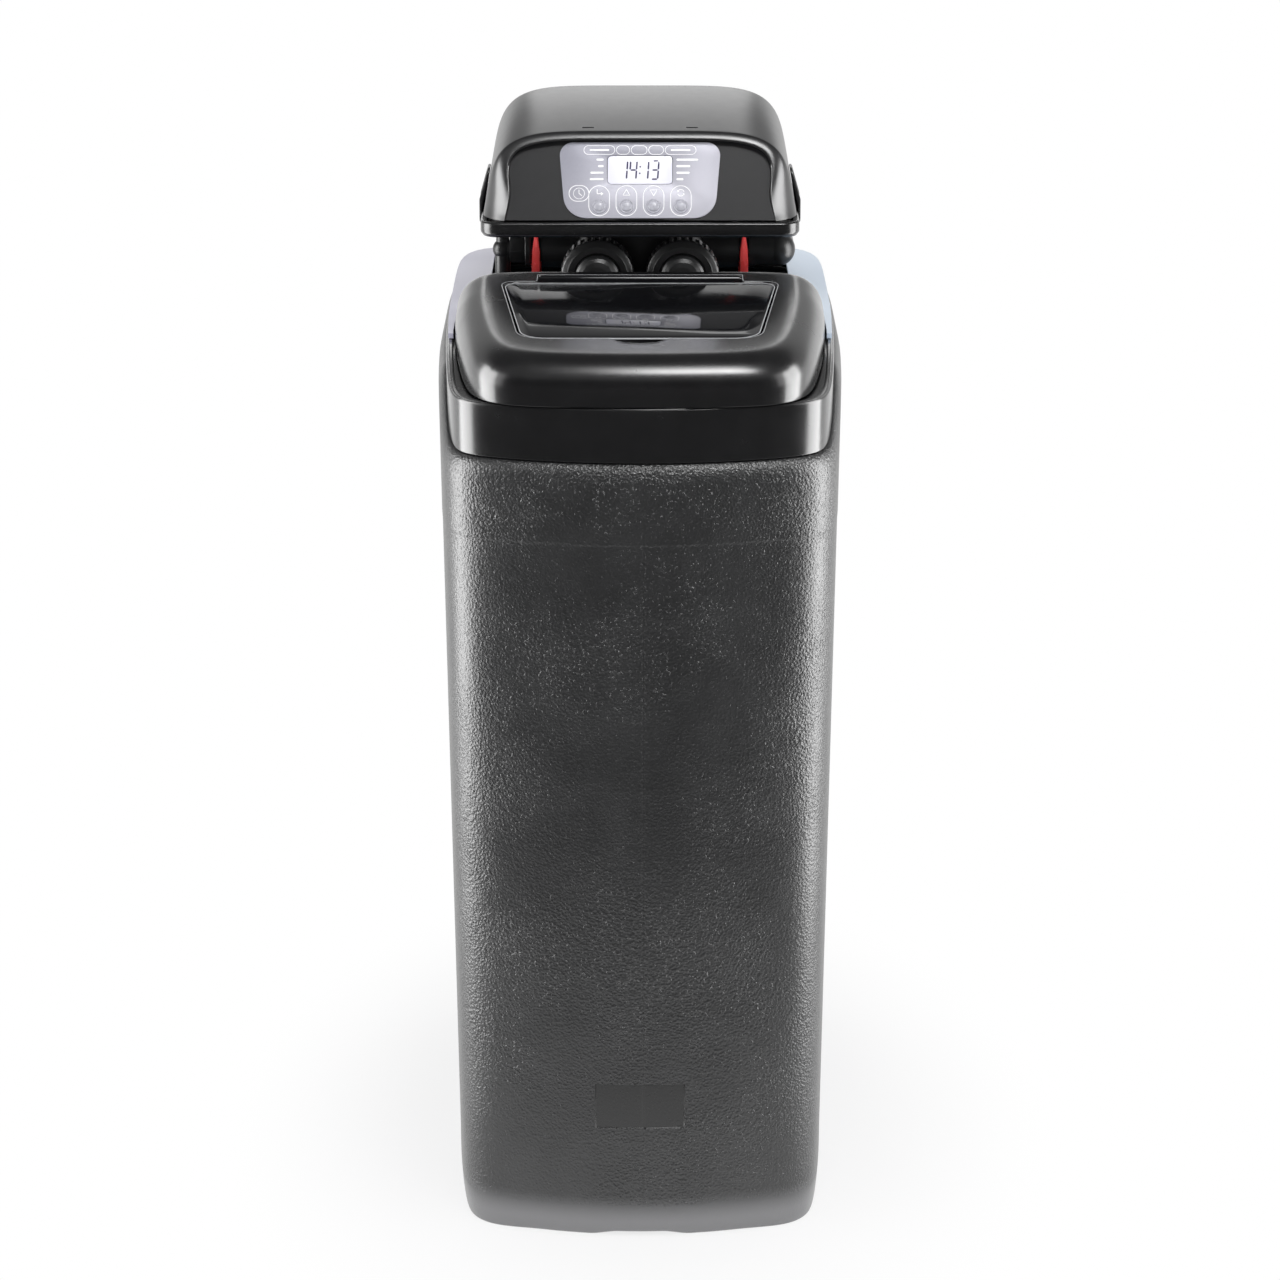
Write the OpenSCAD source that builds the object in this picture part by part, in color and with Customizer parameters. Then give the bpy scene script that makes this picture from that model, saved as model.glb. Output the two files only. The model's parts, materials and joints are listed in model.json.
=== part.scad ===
// Cabinet water softener: a moulded brine cabinet with a lift-off salt lid at the front,
// a resin tank inside it at the back, and a control valve with a bypass on top of the tank.
// Origin: centre of the base on the floor. +Z up, the display faces -Y. Millimetres.

/* [Cabinet] */
// Greatest width of the cabinet, at its rim
cab_w = 240; // [236:1:260]
// Depth of the cabinet, front to back
cab_d = 410; // [404:1:430]
// Height of the cabinet's rim at the front
rim_z = 467; // [460:1:480]
// How much higher the rim stands along the sides and back
rim_rise = 33; // [26:1:36]
// How much each side leans in towards the base
cab_draft = 8; // [4:0.5:9]
// Wall of the cabinet
cab_wall = 4; // [3:0.5:4.5]
// Radius of the rounded base edge
base_round = 28; // [20:1:30]
// Width of the recessed plate on the front
plate_w = 52; // [30:1:70]
// Height of the recessed plate on the front
plate_h = 27; // [15:1:40]

/* [Lid and frame] */
// Gap from the cabinet's outer wall in to the frame's band
frame_inset = 4.5; // [4:0.1:5]
// Height of the band at the front
band_h = 31; // [26:1:34]
// Height of the frame's cheeks along the sides
cheek_h = 10; // [8:0.5:14]
// Depth of the salt lid, front to back
lid_d = 184; // [176:1:188]
// Height of the lid above its seat at the front
lid_front_h = 28; // [26:1:34]
// How much the lid's top rises towards the back
lid_rise = 15; // [8:1:18]
// Radius of the lid's rounded top edge
lid_round = 18; // [14:1:20]
// Wall of the lid's skirt
lid_wall = 3; // [2:0.5:4]
// Width of the window flap at its back edge
flap_w = 161; // [146:1:165]
// Width of the window flap at its front edge
flap_front_w = 134; // [120:1:140]
// Length of the window flap
flap_d = 113; // [96:1:115]
// Thickness of the window flap
flap_t = 3; // [2:0.5:3.5]
// Length of the flap's hinge barrel
barrel_len = 118; // [90:1:122]

/* [Deck] */
// Thickness of the deck behind the lid
deck_t = 3; // [2:0.5:4]
// Width of the valve's opening in the deck
deck_hole_w = 184; // [182:1:192]

/* [Resin tank] */
// Room from the cabinet's outer side in to the resin tank
tank_room = 18.5; // [17.5:0.5:25]
// Height of the inlet and outlet axis above the tank's neck
port_up = 71; // [69:0.5:80]
// Wall of the resin tank
tank_wall = 4; // [3:0.5:6]
// Outer diameter of the riser tube
riser_d = 26.7; // [20:0.1:27]
// Top of the resin above the cabinet's floor
resin_h = 326; // [200:1:340]

/* [Brine well] */
// Outer diameter of the brine well
well_d = 68; // [60:1:70]
// How far the brine well's top lies below the lid's seat
well_below = 69.7; // [66:0.1:110]
// Diameter of the brine float
float_d = 44; // [30:1:50]
// Travel of the brine float
float_travel = 80; // [40:1:100]
// Outer diameter of the brine line
line_d = 8.5; // [6:0.5:9]

/* [Control valve] */
// Height of the inlet and outlet axis above the deck
port_rise = 17.7; // [17.4:0.1:20]
// Distance between the inlet and outlet axes
port_pitch = 51; // [49:0.5:54]
// Outer diameter of the inlet and outlet tubes
port_d = 34; // [32:0.5:34.5]
// Outer diameter of the ribbed nuts
nut_d = 44; // [42:0.5:46]
// Width of the valve's tray
tray_w = 190; // [186:1:196]
// Depth of the valve's tray
tray_d = 146; // [144:1:147]
// Height of the valve's tray
tray_h = 9; // [8:0.5:10]
// Height of the hood at its front edge
hood_front_h = 50; // [50:0.5:54]
// How much the hood rises towards the back
hood_rise = 10; // [6:0.5:12]
// Wall of the hood
hood_wall = 2.6; // [2:0.2:3]
// How far the face leans back from upright
face_tilt = 25; // [22:1:26]
// Width of the display label
label_w = 97; // [90:1:105]
// Height of the display label
label_h = 46.5; // [43:0.5:47]
// Width of the display
lcd_w = 38.5; // [30:0.5:42]
// Height of the display
lcd_h = 17; // [14:0.5:18]
// Diameter of a button
button_d = 8.8; // [7:0.1:9.4]
// Distance between buttons
button_pitch = 16.2; // [14:0.1:18]
// Travel of a button
button_travel = 0.8; // [0.4:0.1:0.9]

/* [Bypass and pipes] */
// Outer diameter of the threaded pipe tails
tail_d = 33.2; // [30:0.1:33.6]
// Length of the thread on a pipe tail
tail_thread = 16; // [12:1:18]
// Outer diameter of the drain spigot
drain_d = 13; // [10:0.5:14]
// Outer diameter of the overflow spigot
overflow_d = 16; // [12:0.5:20]
// Length of a bypass handle
handle_len = 40; // [34:1:42]

/* [Hidden] */
$fn = 48;

black = [0.05, 0.05, 0.055];
dark = [0.09, 0.09, 0.1];
grey = [0.66, 0.67, 0.72];
pale = [0.8, 0.81, 0.85];
white = [0.9, 0.9, 0.88];
blue = [0.35, 0.5, 0.62];
amber = [0.6, 0.36, 0.14];
red = [0.72, 0.13, 0.13];
green = [0.05, 0.3, 0.16];
steel = [0.6, 0.61, 0.63];

// Clearance of a loose fit, of a seat, and of a running fit
gap = 0.4;
seat = 0.3;
run = 0.05;
// Points round a plan outline, and along an arch
plan_n = 80;
arch_n = 32;

// Cabinet plan: the widest line lies behind the middle. Towards the front the sides draw in to two tight
// corners, which stand back from the bowed front.
front_square = 14;
front_taper = 0.072;
front_bow = 0.115;
rear_square = 8;
widest_y = 15;
front_y = -cab_d / 2;
rear_y = cab_d / 2;
// The rim climbs from its front height to its side height between these two lines.
climb_start = front_y + 35;
climb_end = front_y + 125;

function sgn_pow(v, p) = sign(v) * pow(abs(v), p);
function mix(a, b, t) = a + (b - a) * t;
function smooth(t) = let (u = max(0, min(1, t))) u * u * (3 - 2 * u);
function climb(y) = smooth((y - climb_start) / (climb_end - climb_start));
function reversed(list) = [for (i = [len(list) - 1:-1:0]) list[i]];

// A closed outline of two half superellipses that meet on the line y0. In the front half the sides draw in by a
// share of the width (taper) and the corners stand back by a share of the depth (bow).
// The points lie closer together at the corners.
corner_pull = 6.5;
taper_power = 1.5;
function plan(hw, y0, front, rear, nf, nr, taper, bow) =
    [for (i = [0:plan_n - 1])
        let (t = 360 * i / plan_n, a = t + corner_pull * sin(4 * t), c = abs(cos(a)), s = abs(sin(a)),
             ahead = sin(a) < 0, n = ahead ? nf : nr, r = pow(pow(c, n) + pow(s, n), -1 / n),
             drawn = ahead ? taper * pow(r * s, taper_power) : 0, back = ahead ? bow * pow(r * c, 2) : 0)
        [hw * sign(cos(a)) * r * c * (1 - drawn), y0 + ((ahead ? front : rear) - y0) * r * s * (1 - back)]];
function cab_plan(inset) =
    plan(cab_w / 2 - inset, widest_y, front_y + inset, rear_y - inset, front_square, rear_square,
         front_taper, front_bow);
function draft_at(z) = cab_draft * (1 - z / rim_z);
function cab_ring(inset, z) = [for (p = cab_plan(inset + draft_at(z))) [p.x, p.y, z]];
function rim_at(y) = rim_z + rim_rise * climb(y);
// A ring near the rim: its height follows the climbing rim, dz above it.
function rim_ring(inset, dz) = [for (p = cab_plan(inset)) [p.x, p.y, rim_at(p.y) + dz]];

// A solid skinned over rings of equal length, with flat ends, or joined end to end in a loop.
module loft(rings, loop = false) {
    n = len(rings[0]);
    m = len(rings);
    points = [for (r = rings) each r];
    sides = [for (k = [0:m - (loop ? 1 : 2)]) for (i = [0:n - 1])
        let (j = (i + 1) % n, k2 = (k + 1) % m)
        each [[k * n + i, k2 * n + i, k2 * n + j], [k * n + i, k2 * n + j, k * n + j]]];
    ends = loop ? [] : [[for (i = [0:n - 1]) i], [for (i = [n - 1:-1:0]) (m - 1) * n + i]];
    polyhedron(points, concat(sides, ends), convexity = 8);
}

// A wall between two open grids of the same size.
function quad(a, b, c, d) = [[a, b, c], [a, c, d]];
module shell(outer, inner) {
    m = len(outer);
    n = len(outer[0]);
    o = m * n;
    points = concat([for (r = outer) each r], [for (r = inner) each r]);
    skin = [for (k = [0:m - 2]) for (i = [0:n - 2]) let (a = k * n + i)
        each concat(quad(a, a + 1, a + n + 1, a + n), quad(o + a, o + a + n, o + a + n + 1, o + a + 1))];
    long_edges = [for (k = [0:m - 2]) let (a = k * n, b = a + n - 1)
        each concat(quad(a, a + n, o + a + n, o + a), quad(b, o + b, o + b + n, b + n))];
    end_edges = [for (i = [0:n - 2]) let (b = (m - 1) * n + i)
        each concat(quad(i, o + i, o + i + 1, i + 1), quad(b, b + 1, o + b + 1, o + b))];
    polyhedron(points, concat(skin, long_edges, end_edges), convexity = 8);
}

// A polygon's corners rounded off, each with its own radius.
function round_poly(pts, radii, steps = 6) =
    [for (i = [0:len(pts) - 1])
        let (p = pts[i], a = pts[(i + len(pts) - 1) % len(pts)] - p, b = pts[(i + 1) % len(pts)] - p,
             ua = a / norm(a), ub = b / norm(b), half = acos(ua * ub) / 2,
             c = p + (ua + ub) / norm(ua + ub) * radii[i] / sin(half),
             p1 = p + ua * radii[i] / tan(half), p2 = p + ub * radii[i] / tan(half),
             a1 = atan2(p1.y - c.y, p1.x - c.x), turn = atan2(p2.y - c.y, p2.x - c.x) - a1,
             sweep = turn > 180 ? turn - 360 : turn < -180 ? turn + 360 : turn)
        each [for (k = [0:steps]) c + radii[i] * [cos(a1 + sweep * k / steps), sin(a1 + sweep * k / steps)]]];
function box_poly(x0, x1, y0, y1, r) = round_poly([[x0, y0], [x1, y0], [x1, y1], [x0, y1]], [r, r, r, r]);

module along_y(x, y, z) translate([x, y, z]) rotate([-90, 0, 0]) children();
module along_x(x, y, z) translate([x, y, z]) rotate([0, 90, 0]) children();
// A tube along its own axis.
module pipe(d_out, d_in, h) difference() {
    cylinder(d = d_out, h = h);
    translate([0, 0, -1]) cylinder(d = d_in, h = h + 2);
}

// Cabinet shell: a tapered cup with a drawn-in neck at the rim.
base_steps = 5;
neck_in = 9.5;
neck_drop = 14;
plate_z = 69;
plate_depth = 1.2;
overflow_side = 60;
overflow_x = cab_w / 2 - overflow_side;
overflow_z = 360;
// The spigot's root, where it goes through the wall, is thicker than the part that takes the hose
overflow_root_d = overflow_d + 3;
function cup_rings(inset, r, floor_z) =
    [for (k = [0:base_steps]) let (t = 90 * k / base_steps)
        cab_ring(inset + r * (1 - sin(t)), floor_z + r * (1 - cos(t)))];

module cabinet_shell() {
    outer = concat(cup_rings(0, base_round, 0),
                   [rim_ring(0, -neck_drop), rim_ring(1, -8), rim_ring(3, -3), rim_ring(6, 0)]);
    inner = concat([rim_ring(neck_in, 0), rim_ring(neck_in, -8), rim_ring(cab_wall + 0.5, -neck_drop - 10)],
                   reversed(cup_rings(cab_wall, base_round - cab_wall, cab_wall)));
    color(dark) difference() {
        loft(concat(outer, inner));
        translate([0, 0, plate_z]) linear_extrude(plate_h) difference() {
            translate([-plate_w / 2, front_y - 5]) square([plate_w, 35]);
            polygon(cab_plan(draft_at(plate_z + plate_h / 2) + plate_depth));
        }
        along_y(overflow_x, rear_y - 30, overflow_z) cylinder(d = overflow_root_d + 2 * gap, h = 60);
    }
}

// Lid frame: a band that sits on the rim, with cheeks up the sides, a ledge for the lid and a plug in the neck.
cheek_in = frame_inset + 1.4;
cheek_t = 2.7;
ledge_in = 17;
ledge_t = 3;
plug_drop = 12;
plug_in = neck_in + 0.6;
plug_t = 2.4;
frame_lift = 0.4;
seat_z = rim_z + band_h;
cheek_top = rim_z + rim_rise + cheek_h;
function ledge_at(y) = mix(seat_z, cheek_top - 5.9, climb(y));
function band_at(y) = mix(seat_z - 0.1, cheek_top - 5, climb(y));
function cheek_at(y) = mix(seat_z + 0.3, cheek_top, climb(y));
function ledge_ring(inset, dz) = [for (p = cab_plan(inset)) [p.x, p.y, ledge_at(p.y) + dz]];
function band_ring(inset) = [for (p = cab_plan(inset)) [p.x, p.y, band_at(p.y)]];
function cheek_ring(inset) = [for (p = cab_plan(inset)) [p.x, p.y, cheek_at(p.y)]];

module lid_frame() color(black)
    loft([rim_ring(frame_inset, frame_lift), band_ring(frame_inset), band_ring(cheek_in), cheek_ring(cheek_in),
          cheek_ring(cheek_in + cheek_t), ledge_ring(cheek_in + cheek_t, 0), ledge_ring(ledge_in, 0),
          ledge_ring(ledge_in, -ledge_t), ledge_ring(plug_in + plug_t, -ledge_t),
          rim_ring(plug_in + plug_t, -plug_drop), rim_ring(plug_in, -plug_drop), rim_ring(plug_in, frame_lift)],
         loop = true);

// Salt lid: a rounded pillow with a sloping top, a recess for the flap and a finger scoop.
lid_front = front_y + 6;
lid_back = lid_front + lid_d;
lid_wide_y = lid_back - 45;
lid_hw = cab_w / 2 - cheek_in - cheek_t - 3.6;
lid_square = 8;
lid_taper = 0.14;
lid_bow = 0.06;
lid_rear_square = 10;
// How much of the top edge's rounding the straight back edge has
lid_back_share = 0.15;
lid_lift = 0.7;
lid_top_t = 8;
lid_steps = 4;
lid_slope = atan(lid_rise / lid_d);
lid_crest_y = lid_front + 14;
function lid_plan(inset, share = 1) =
    plan(lid_hw - inset, lid_wide_y, lid_front + inset, lid_back - inset * share, lid_square, lid_rear_square,
         lid_taper, lid_bow);
function lid_top(y) = seat_z + lid_front_h + (y - lid_crest_y) * tan(lid_slope);
function lid_top_ring(inset, dz, share = 1) =
    [for (p = lid_plan(inset, share)) [p.x, p.y, lid_top(p.y) + dz]];
function lid_seat_ring(inset) = [for (p = lid_plan(inset)) [p.x, p.y, ledge_at(p.y) + lid_lift]];

// The top's own frame: x across, y up the slope, z out of the top, with its origin on the hinge line.
hinge_y = lid_back - 12;
hinge_in = 2;
barrel_d = 5;
pin_d = 2.8;
pin_len = 4;
flap_back = -12;
flap_sink = 0.5;
flap_gap = 0.7;
flap_under = 0.6;
scoop_r = 56;
scoop_deep = 4.5;
flap_corners = [16, 16, 9, 9];
module on_lid() translate([0, hinge_y, lid_top(hinge_y)]) rotate([lid_slope, 0, 0]) children();
function flap_poly(by) =
    round_poly([[-flap_front_w / 2 - by, flap_back - flap_d - by],
                [flap_front_w / 2 + by, flap_back - flap_d - by],
                [flap_w / 2 + by, flap_back + by], [-flap_w / 2 - by, flap_back + by]], flap_corners);

module salt_lid() color(black) difference() {
    loft(concat([lid_top_ring(lid_round + 1, -lid_top_t), lid_top_ring(lid_wall + 4, -lid_top_t - 5),
                 lid_top_ring(lid_wall, -lid_round), lid_seat_ring(lid_wall), lid_seat_ring(0)],
                [for (k = [0:lid_steps]) let (t = 90 * k / lid_steps)
                    lid_top_ring(lid_round * (1 - cos(t)), -lid_round * (1 - sin(t)), lid_back_share)]));
    on_lid() {
        translate([0, 0, -flap_t - flap_sink - flap_under]) linear_extrude(20) polygon(flap_poly(flap_gap));
        translate([-barrel_len / 2 - flap_gap, flap_back - 1, -hinge_in - barrel_d / 2 - flap_gap])
            cube([barrel_len + 2 * flap_gap, barrel_d / 2 + flap_gap + 1 - flap_back, 20]);
        along_x(-barrel_len / 2 - pin_len - 1, 0, -hinge_in)
            cylinder(d = pin_d + 2 * run, h = barrel_len + 2 * pin_len + 2);
        translate([0, flap_back - flap_d + 12, scoop_r - scoop_deep]) sphere(r = scoop_r);
    }
}

// Window flap: a smoked plate on a barrel with two end pins.
module window_flap() color(blue) on_lid() {
    translate([0, 0, -flap_t - flap_sink]) linear_extrude(flap_t) polygon(flap_poly(0));
    translate([-barrel_len / 2, flap_back - 1, -flap_t - flap_sink]) cube([barrel_len, 1 - flap_back, flap_t]);
    along_x(-barrel_len / 2, 0, -hinge_in) cylinder(d = barrel_d, h = barrel_len);
    along_x(-barrel_len / 2 - pin_len, 0, -hinge_in) cylinder(d = pin_d, h = barrel_len + 2 * pin_len);
}

// Rear deck: a plate on the cheeks with arms beside the lid, cut out for the lid, the valve and the pipes.
deck_z = cheek_top + seat;
deck_front = climb_end + 12;
deck_hole_front = 2;
deck_hole_back = 182;
deck_corner = 14;
pipe_notch_w = 104;
lid_room = 1.3;

module rear_deck() color(pale) translate([0, 0, deck_z]) linear_extrude(deck_t) difference() {
    polygon(cab_plan(cheek_in));
    translate([-cab_w, front_y - 10]) square([2 * cab_w, deck_front - front_y + 10]);
    polygon(lid_plan(-lid_room));
    polygon(box_poly(-deck_hole_w / 2, deck_hole_w / 2, deck_hole_front, deck_hole_back, deck_corner));
    translate([-pipe_notch_w / 2, deck_hole_back - deck_corner]) square([pipe_notch_w, rear_y]);
}

// Resin tank: a cylinder with domed ends and a neck, on its own axis.
// The valve stands on the neck, so the place of its ports above the deck sets the tank's height.
port_z = deck_z + deck_t + port_rise;
tank_y = 85;
tank_d = cab_w - 2 * tank_room;
tank_r = tank_d / 2;
tank_foot = 12;
dome_h = 50;
neck_d = 80;
neck_bore = 58.8;
neck_h = 19;
dome_steps = 8;
tank_low = cab_wall + tank_foot;
tank_top = port_z - port_up;
dome_low = tank_low + dome_h;
dome_top = tank_top - neck_h - dome_h * sqrt(1 - pow(neck_d / tank_d, 2));
function dome(r, rr, h) = h * sqrt(max(0, 1 - pow(r / rr, 2)));
// Points of a dome from one radius to another.
function dome_pts(r0, r1, rr, h, z, up, by = 0) =
    [for (k = [0:dome_steps]) let (r = mix(r0, r1, k / dome_steps)) [r, z + up * (dome(r, rr, h) + by)]];

module resin_tank() color(blue) translate([0, tank_y, 0]) rotate_extrude() {
    in_r = tank_r - tank_wall;
    in_h = dome_h - tank_wall;
    polygon(concat(dome_pts(0, tank_r, tank_r, dome_h, dome_low, -1),
                   dome_pts(tank_r, neck_d / 2, tank_r, dome_h, dome_top, 1),
                   [[neck_d / 2, tank_top], [neck_bore / 2, tank_top]],
                   dome_pts(neck_bore / 2, in_r, in_r, in_h, dome_top, 1),
                   dome_pts(in_r, 0, in_r, in_h, dome_low, -1)));
}

// Tank boot: a ring under the tank's lower dome that stands on the cabinet's floor.
boot_edge = 9.5;
boot_lean = 14;
boot_w = 32;
boot_rise = 10;
boot_out = tank_r - boot_edge;
boot_foot = boot_out - boot_lean;
boot_in = boot_out - boot_w;
module tank_boot() color(black) translate([0, tank_y, 0]) rotate_extrude()
    polygon(concat([[boot_in, cab_wall + seat], [boot_foot, cab_wall + seat], [boot_out, cab_wall + boot_rise]],
                   dome_pts(boot_out, boot_in, tank_r, dome_h, dome_low, -1, seat)));

// Strainers and riser tube inside the resin tank.
strainer_d = 48;
strainer_h = 52;
strainer_z = dome_low - dome(strainer_d / 2, tank_r - tank_wall, dome_h - tank_wall) + gap;
strainer_ribs = 8;
rib_h = strainer_h / strainer_ribs;
riser_z = strainer_z + 20;
riser_top = tank_top + 10;
riser_hole = riser_d + 2 * gap;

module bottom_strainer() color(white) translate([0, tank_y, strainer_z]) difference() {
    cylinder(d = strainer_d, h = strainer_h);
    translate([0, 0, riser_z - strainer_z - gap]) cylinder(d = riser_hole, h = strainer_h);
    for (k = [1:strainer_ribs - 1]) translate([0, 0, k * rib_h - 1]) pipe(strainer_d + 2, strainer_d - 8, 1.4);
}

module riser_tube() color(white) translate([0, tank_y, riser_z])
    pipe(riser_d, riser_d - 4, riser_top - riser_z);

module resin_bed() color(amber) translate([0, tank_y, 0]) difference() {
    bed_r = tank_r - tank_wall - gap;
    bed_top = cab_wall + resin_h;
    rotate_extrude() polygon(concat(dome_pts(0, bed_r, bed_r, dome_h - tank_wall - gap, dome_low, -1),
                                    [[bed_r, bed_top], [0, bed_top]]));
    cylinder(d = strainer_d + 2 * gap, h = strainer_z + strainer_h + gap);
    cylinder(d = riser_hole, h = bed_top + 1);
}

// Control valve: heights are taken from the ports, the rest from the axis of the tank.
port_x = port_pitch / 2;
port_bore = 26;
port_front = 22;
port_back = 130;
flange_z = tank_top + seat;
flange_d = 88;
column_d = 66;
spigot_d = neck_bore - 2 * gap;
spigot_h = 20;
tray_z = port_z + nut_d / 2 + 4;
tray_top = tray_z + tray_h;
piston_z = tray_top + 22;
stack_d = 48;
stack_bore = 40;
stack_front = 58;
stack_back = 130;
stack_end = 4;
web_w = 44;
web_front = 62;
web_back = 122;
side_y = 78;
side_z = port_z + 4;
side_boss_d = 24;
side_end = 60;
stem_d = 16;
stem_deep = 20;

basket_h = 30;
basket_slots = 4;
basket_slot_h = 1.4;
module top_basket() color(white) translate([0, tank_y, flange_z - spigot_h - seat - basket_h]) difference() {
    cylinder(d = spigot_d - 4, h = basket_h);
    translate([0, 0, -1]) cylinder(d = riser_hole + 1, h = basket_h + 2);
    for (k = [1:basket_slots]) translate([0, 0, k * basket_h / (basket_slots + 1) - 1])
        pipe(spigot_d, spigot_d - 10, basket_slot_h);
}

module valve_body() color(black) difference() {
    union() {
        translate([0, tank_y, flange_z - spigot_h]) cylinder(d = spigot_d, h = spigot_h + 1);
        translate([0, tank_y, flange_z]) cylinder(d = flange_d, h = 11);
        translate([0, tank_y, flange_z]) cylinder(d = column_d, h = tray_z - seat - flange_z);
        translate([-web_w / 2, web_front, port_z]) cube([web_w, web_back - web_front, piston_z - port_z]);
        along_y(0, stack_front, piston_z) cylinder(d = stack_d, h = stack_back - stack_front);
        for (s = [-1, 1]) {
            along_y(s * port_x, port_front, port_z) cylinder(d = port_d, h = port_back - port_front);
            along_x(s < 0 ? -side_end : 20, side_y, side_z) cylinder(d = side_boss_d, h = side_end - 20);
        }
    }
    translate([0, tank_y, flange_z - spigot_h - 1])
        cylinder(d = riser_hole, h = riser_top + gap - flange_z + spigot_h + 1);
    along_y(0, stack_front - 1, piston_z)
        cylinder(d = stack_bore, h = stack_back - stack_end - stack_front + 1);
    for (s = [-1, 1]) {
        along_y(s * port_x, port_front - 1, port_z) cylinder(d = port_bore, h = port_back - port_front + 2);
        along_x(s < 0 ? -side_end - 1 : side_end - stem_deep - 1, side_y, side_z)
            cylinder(d = stem_d + 2 * gap, h = stem_deep + 2);
    }
}

// Piston, its spacer stack, and the cap that shuts the stack's bore.
stack_in = 22;
piston_d = stack_in - 2 * run;
piston_len = 22;
piston_y = 72;
piston_travel = 18;
rod_d = 7.8;
rod_front = 32;
hub_d = 16;

module spacer_stack() color(white) along_y(0, stack_front + seat, piston_z) difference() {
    long = stack_back - stack_end - stack_front - 2 * seat;
    cylinder(d = stack_bore - 2 * gap, h = long);
    translate([0, 0, -1]) cylinder(d = stack_in, h = long + 2);
    for (k = [1:4]) translate([0, 0, k * long / 5 - 1.5]) pipe(stack_bore + 2, stack_bore - 6, 3);
}

module piston() color(amber) {
    along_y(0, piston_y, piston_z) cylinder(d = piston_d, h = piston_len);
    along_y(0, rod_front, piston_z) cylinder(d = rod_d, h = piston_y - rod_front + 1);
}

// Drive: bracket, motor and gears, all on axes along Y.
tooth = 1;
pressure = 25;
slack = 0.12;
pinion_teeth = 10;
idler_teeth = 28;
drive_teeth = 36;
gear_w = 5;
layer_front = 36;
layer_back = layer_front + gear_w + 0.6;
plate_front = 48;
plate_t = 3;
idler_x = tooth * (drive_teeth + pinion_teeth) / 2;
motor_turn = -35;
motor_gap = tooth * (idler_teeth + pinion_teeth) / 2;
motor_x = idler_x + motor_gap * cos(motor_turn);
motor_z = piston_z + motor_gap * sin(motor_turn);
idler_pin_d = 4;
shaft_d = 3;
motor_d = 22;
motor_len = 20;
cap_d = 52;

// Gear outline: each flank runs along the involute of the base circle, from the root to the tip.
function inv(a) = tan(a) * 180 / PI - a;
function flank(r, teeth) =
    let (rp = tooth * teeth / 2, rb = rp * cos(pressure), half = 90 / teeth - slack / rp * 180 / PI)
    half + inv(pressure) - inv(acos(min(1, rb / r)));
function polar(r, a) = [r * cos(a), r * sin(a)];
function gear_poly(teeth) =
    let (rp = tooth * teeth / 2, rb = rp * cos(pressure), tip = rp + 0.85 * tooth, root = rp - 1.1 * tooth,
         low = max(rb, root + 0.05), radii = [low, rp, tip])
    [for (i = [0:teeth - 1]) let (a = 360 * i / teeth)
        each concat([polar(root, a - flank(low, teeth))], [for (r = radii) polar(r, a - flank(r, teeth))],
                    [for (r = reversed(radii)) polar(r, a + flank(r, teeth))],
                    [polar(root, a + flank(low, teeth))])];
module gear(teeth, turn) rotate([0, 0, turn]) linear_extrude(gear_w) polygon(gear_poly(teeth));

module drive_gear() color(white) along_y(0, 0, piston_z) difference() {
    union() {
        translate([0, 0, layer_back]) gear(drive_teeth, 0);
        translate([0, 0, layer_back + 1]) cylinder(d = hub_d, h = stack_front - 2 - layer_back - 1);
    }
    cylinder(d = rod_d + 2 * run, h = 100);
}

module idler_gear() color(white) along_y(idler_x, 0, piston_z) difference() {
    union() {
        translate([0, 0, layer_front]) gear(idler_teeth, -motor_turn);
        translate([0, 0, layer_back]) gear(pinion_teeth, 180 + 180 / pinion_teeth);
        translate([0, 0, layer_front + 1]) cylinder(d = 7, h = gear_w + 1);
    }
    cylinder(d = idler_pin_d + 2 * run, h = 100);
}

module motor_pinion() color(steel) along_y(motor_x, 0, motor_z) {
    translate([0, 0, layer_front]) gear(pinion_teeth, 180 - motor_turn + 180 / pinion_teeth);
    translate([0, 0, layer_front]) cylinder(d = shaft_d, h = plate_front + plate_t + 10 - layer_front);
}

module motor() color(steel) along_y(motor_x, plate_front + plate_t + seat, motor_z) difference() {
    cylinder(d = motor_d, h = motor_len);
    translate([0, 0, -1]) cylinder(d = shaft_d + 2 * run, h = 12);
}

bracket_left = -40;
bracket_right = 56;
bracket_h = 50;
tray_floor_t = 3;
tray_floor = tray_z + tray_floor_t;
module drive_bracket() color(black) {
    difference() {
        translate([bracket_left, plate_front, tray_floor + seat])
            cube([bracket_right - bracket_left, plate_t, bracket_h]);
        along_y(0, plate_front - 1, piston_z) cylinder(d = hub_d + 2 * gap, h = plate_t + 2);
        along_y(motor_x, plate_front - 1, motor_z) cylinder(d = shaft_d + 2 * gap, h = plate_t + 2);
    }
    along_y(idler_x, layer_front - 1, piston_z) cylinder(d = idler_pin_d, h = plate_front - layer_front + 2);
}

module drive_cap() color(dark) along_y(0, plate_front + plate_t + seat, piston_z) difference() {
    cylinder(d = cap_d, h = stack_front - plate_front - plate_t - 2 * seat);
    translate([0, 0, -1]) cylinder(d = hub_d + 2 * run, h = 20);
}

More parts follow.
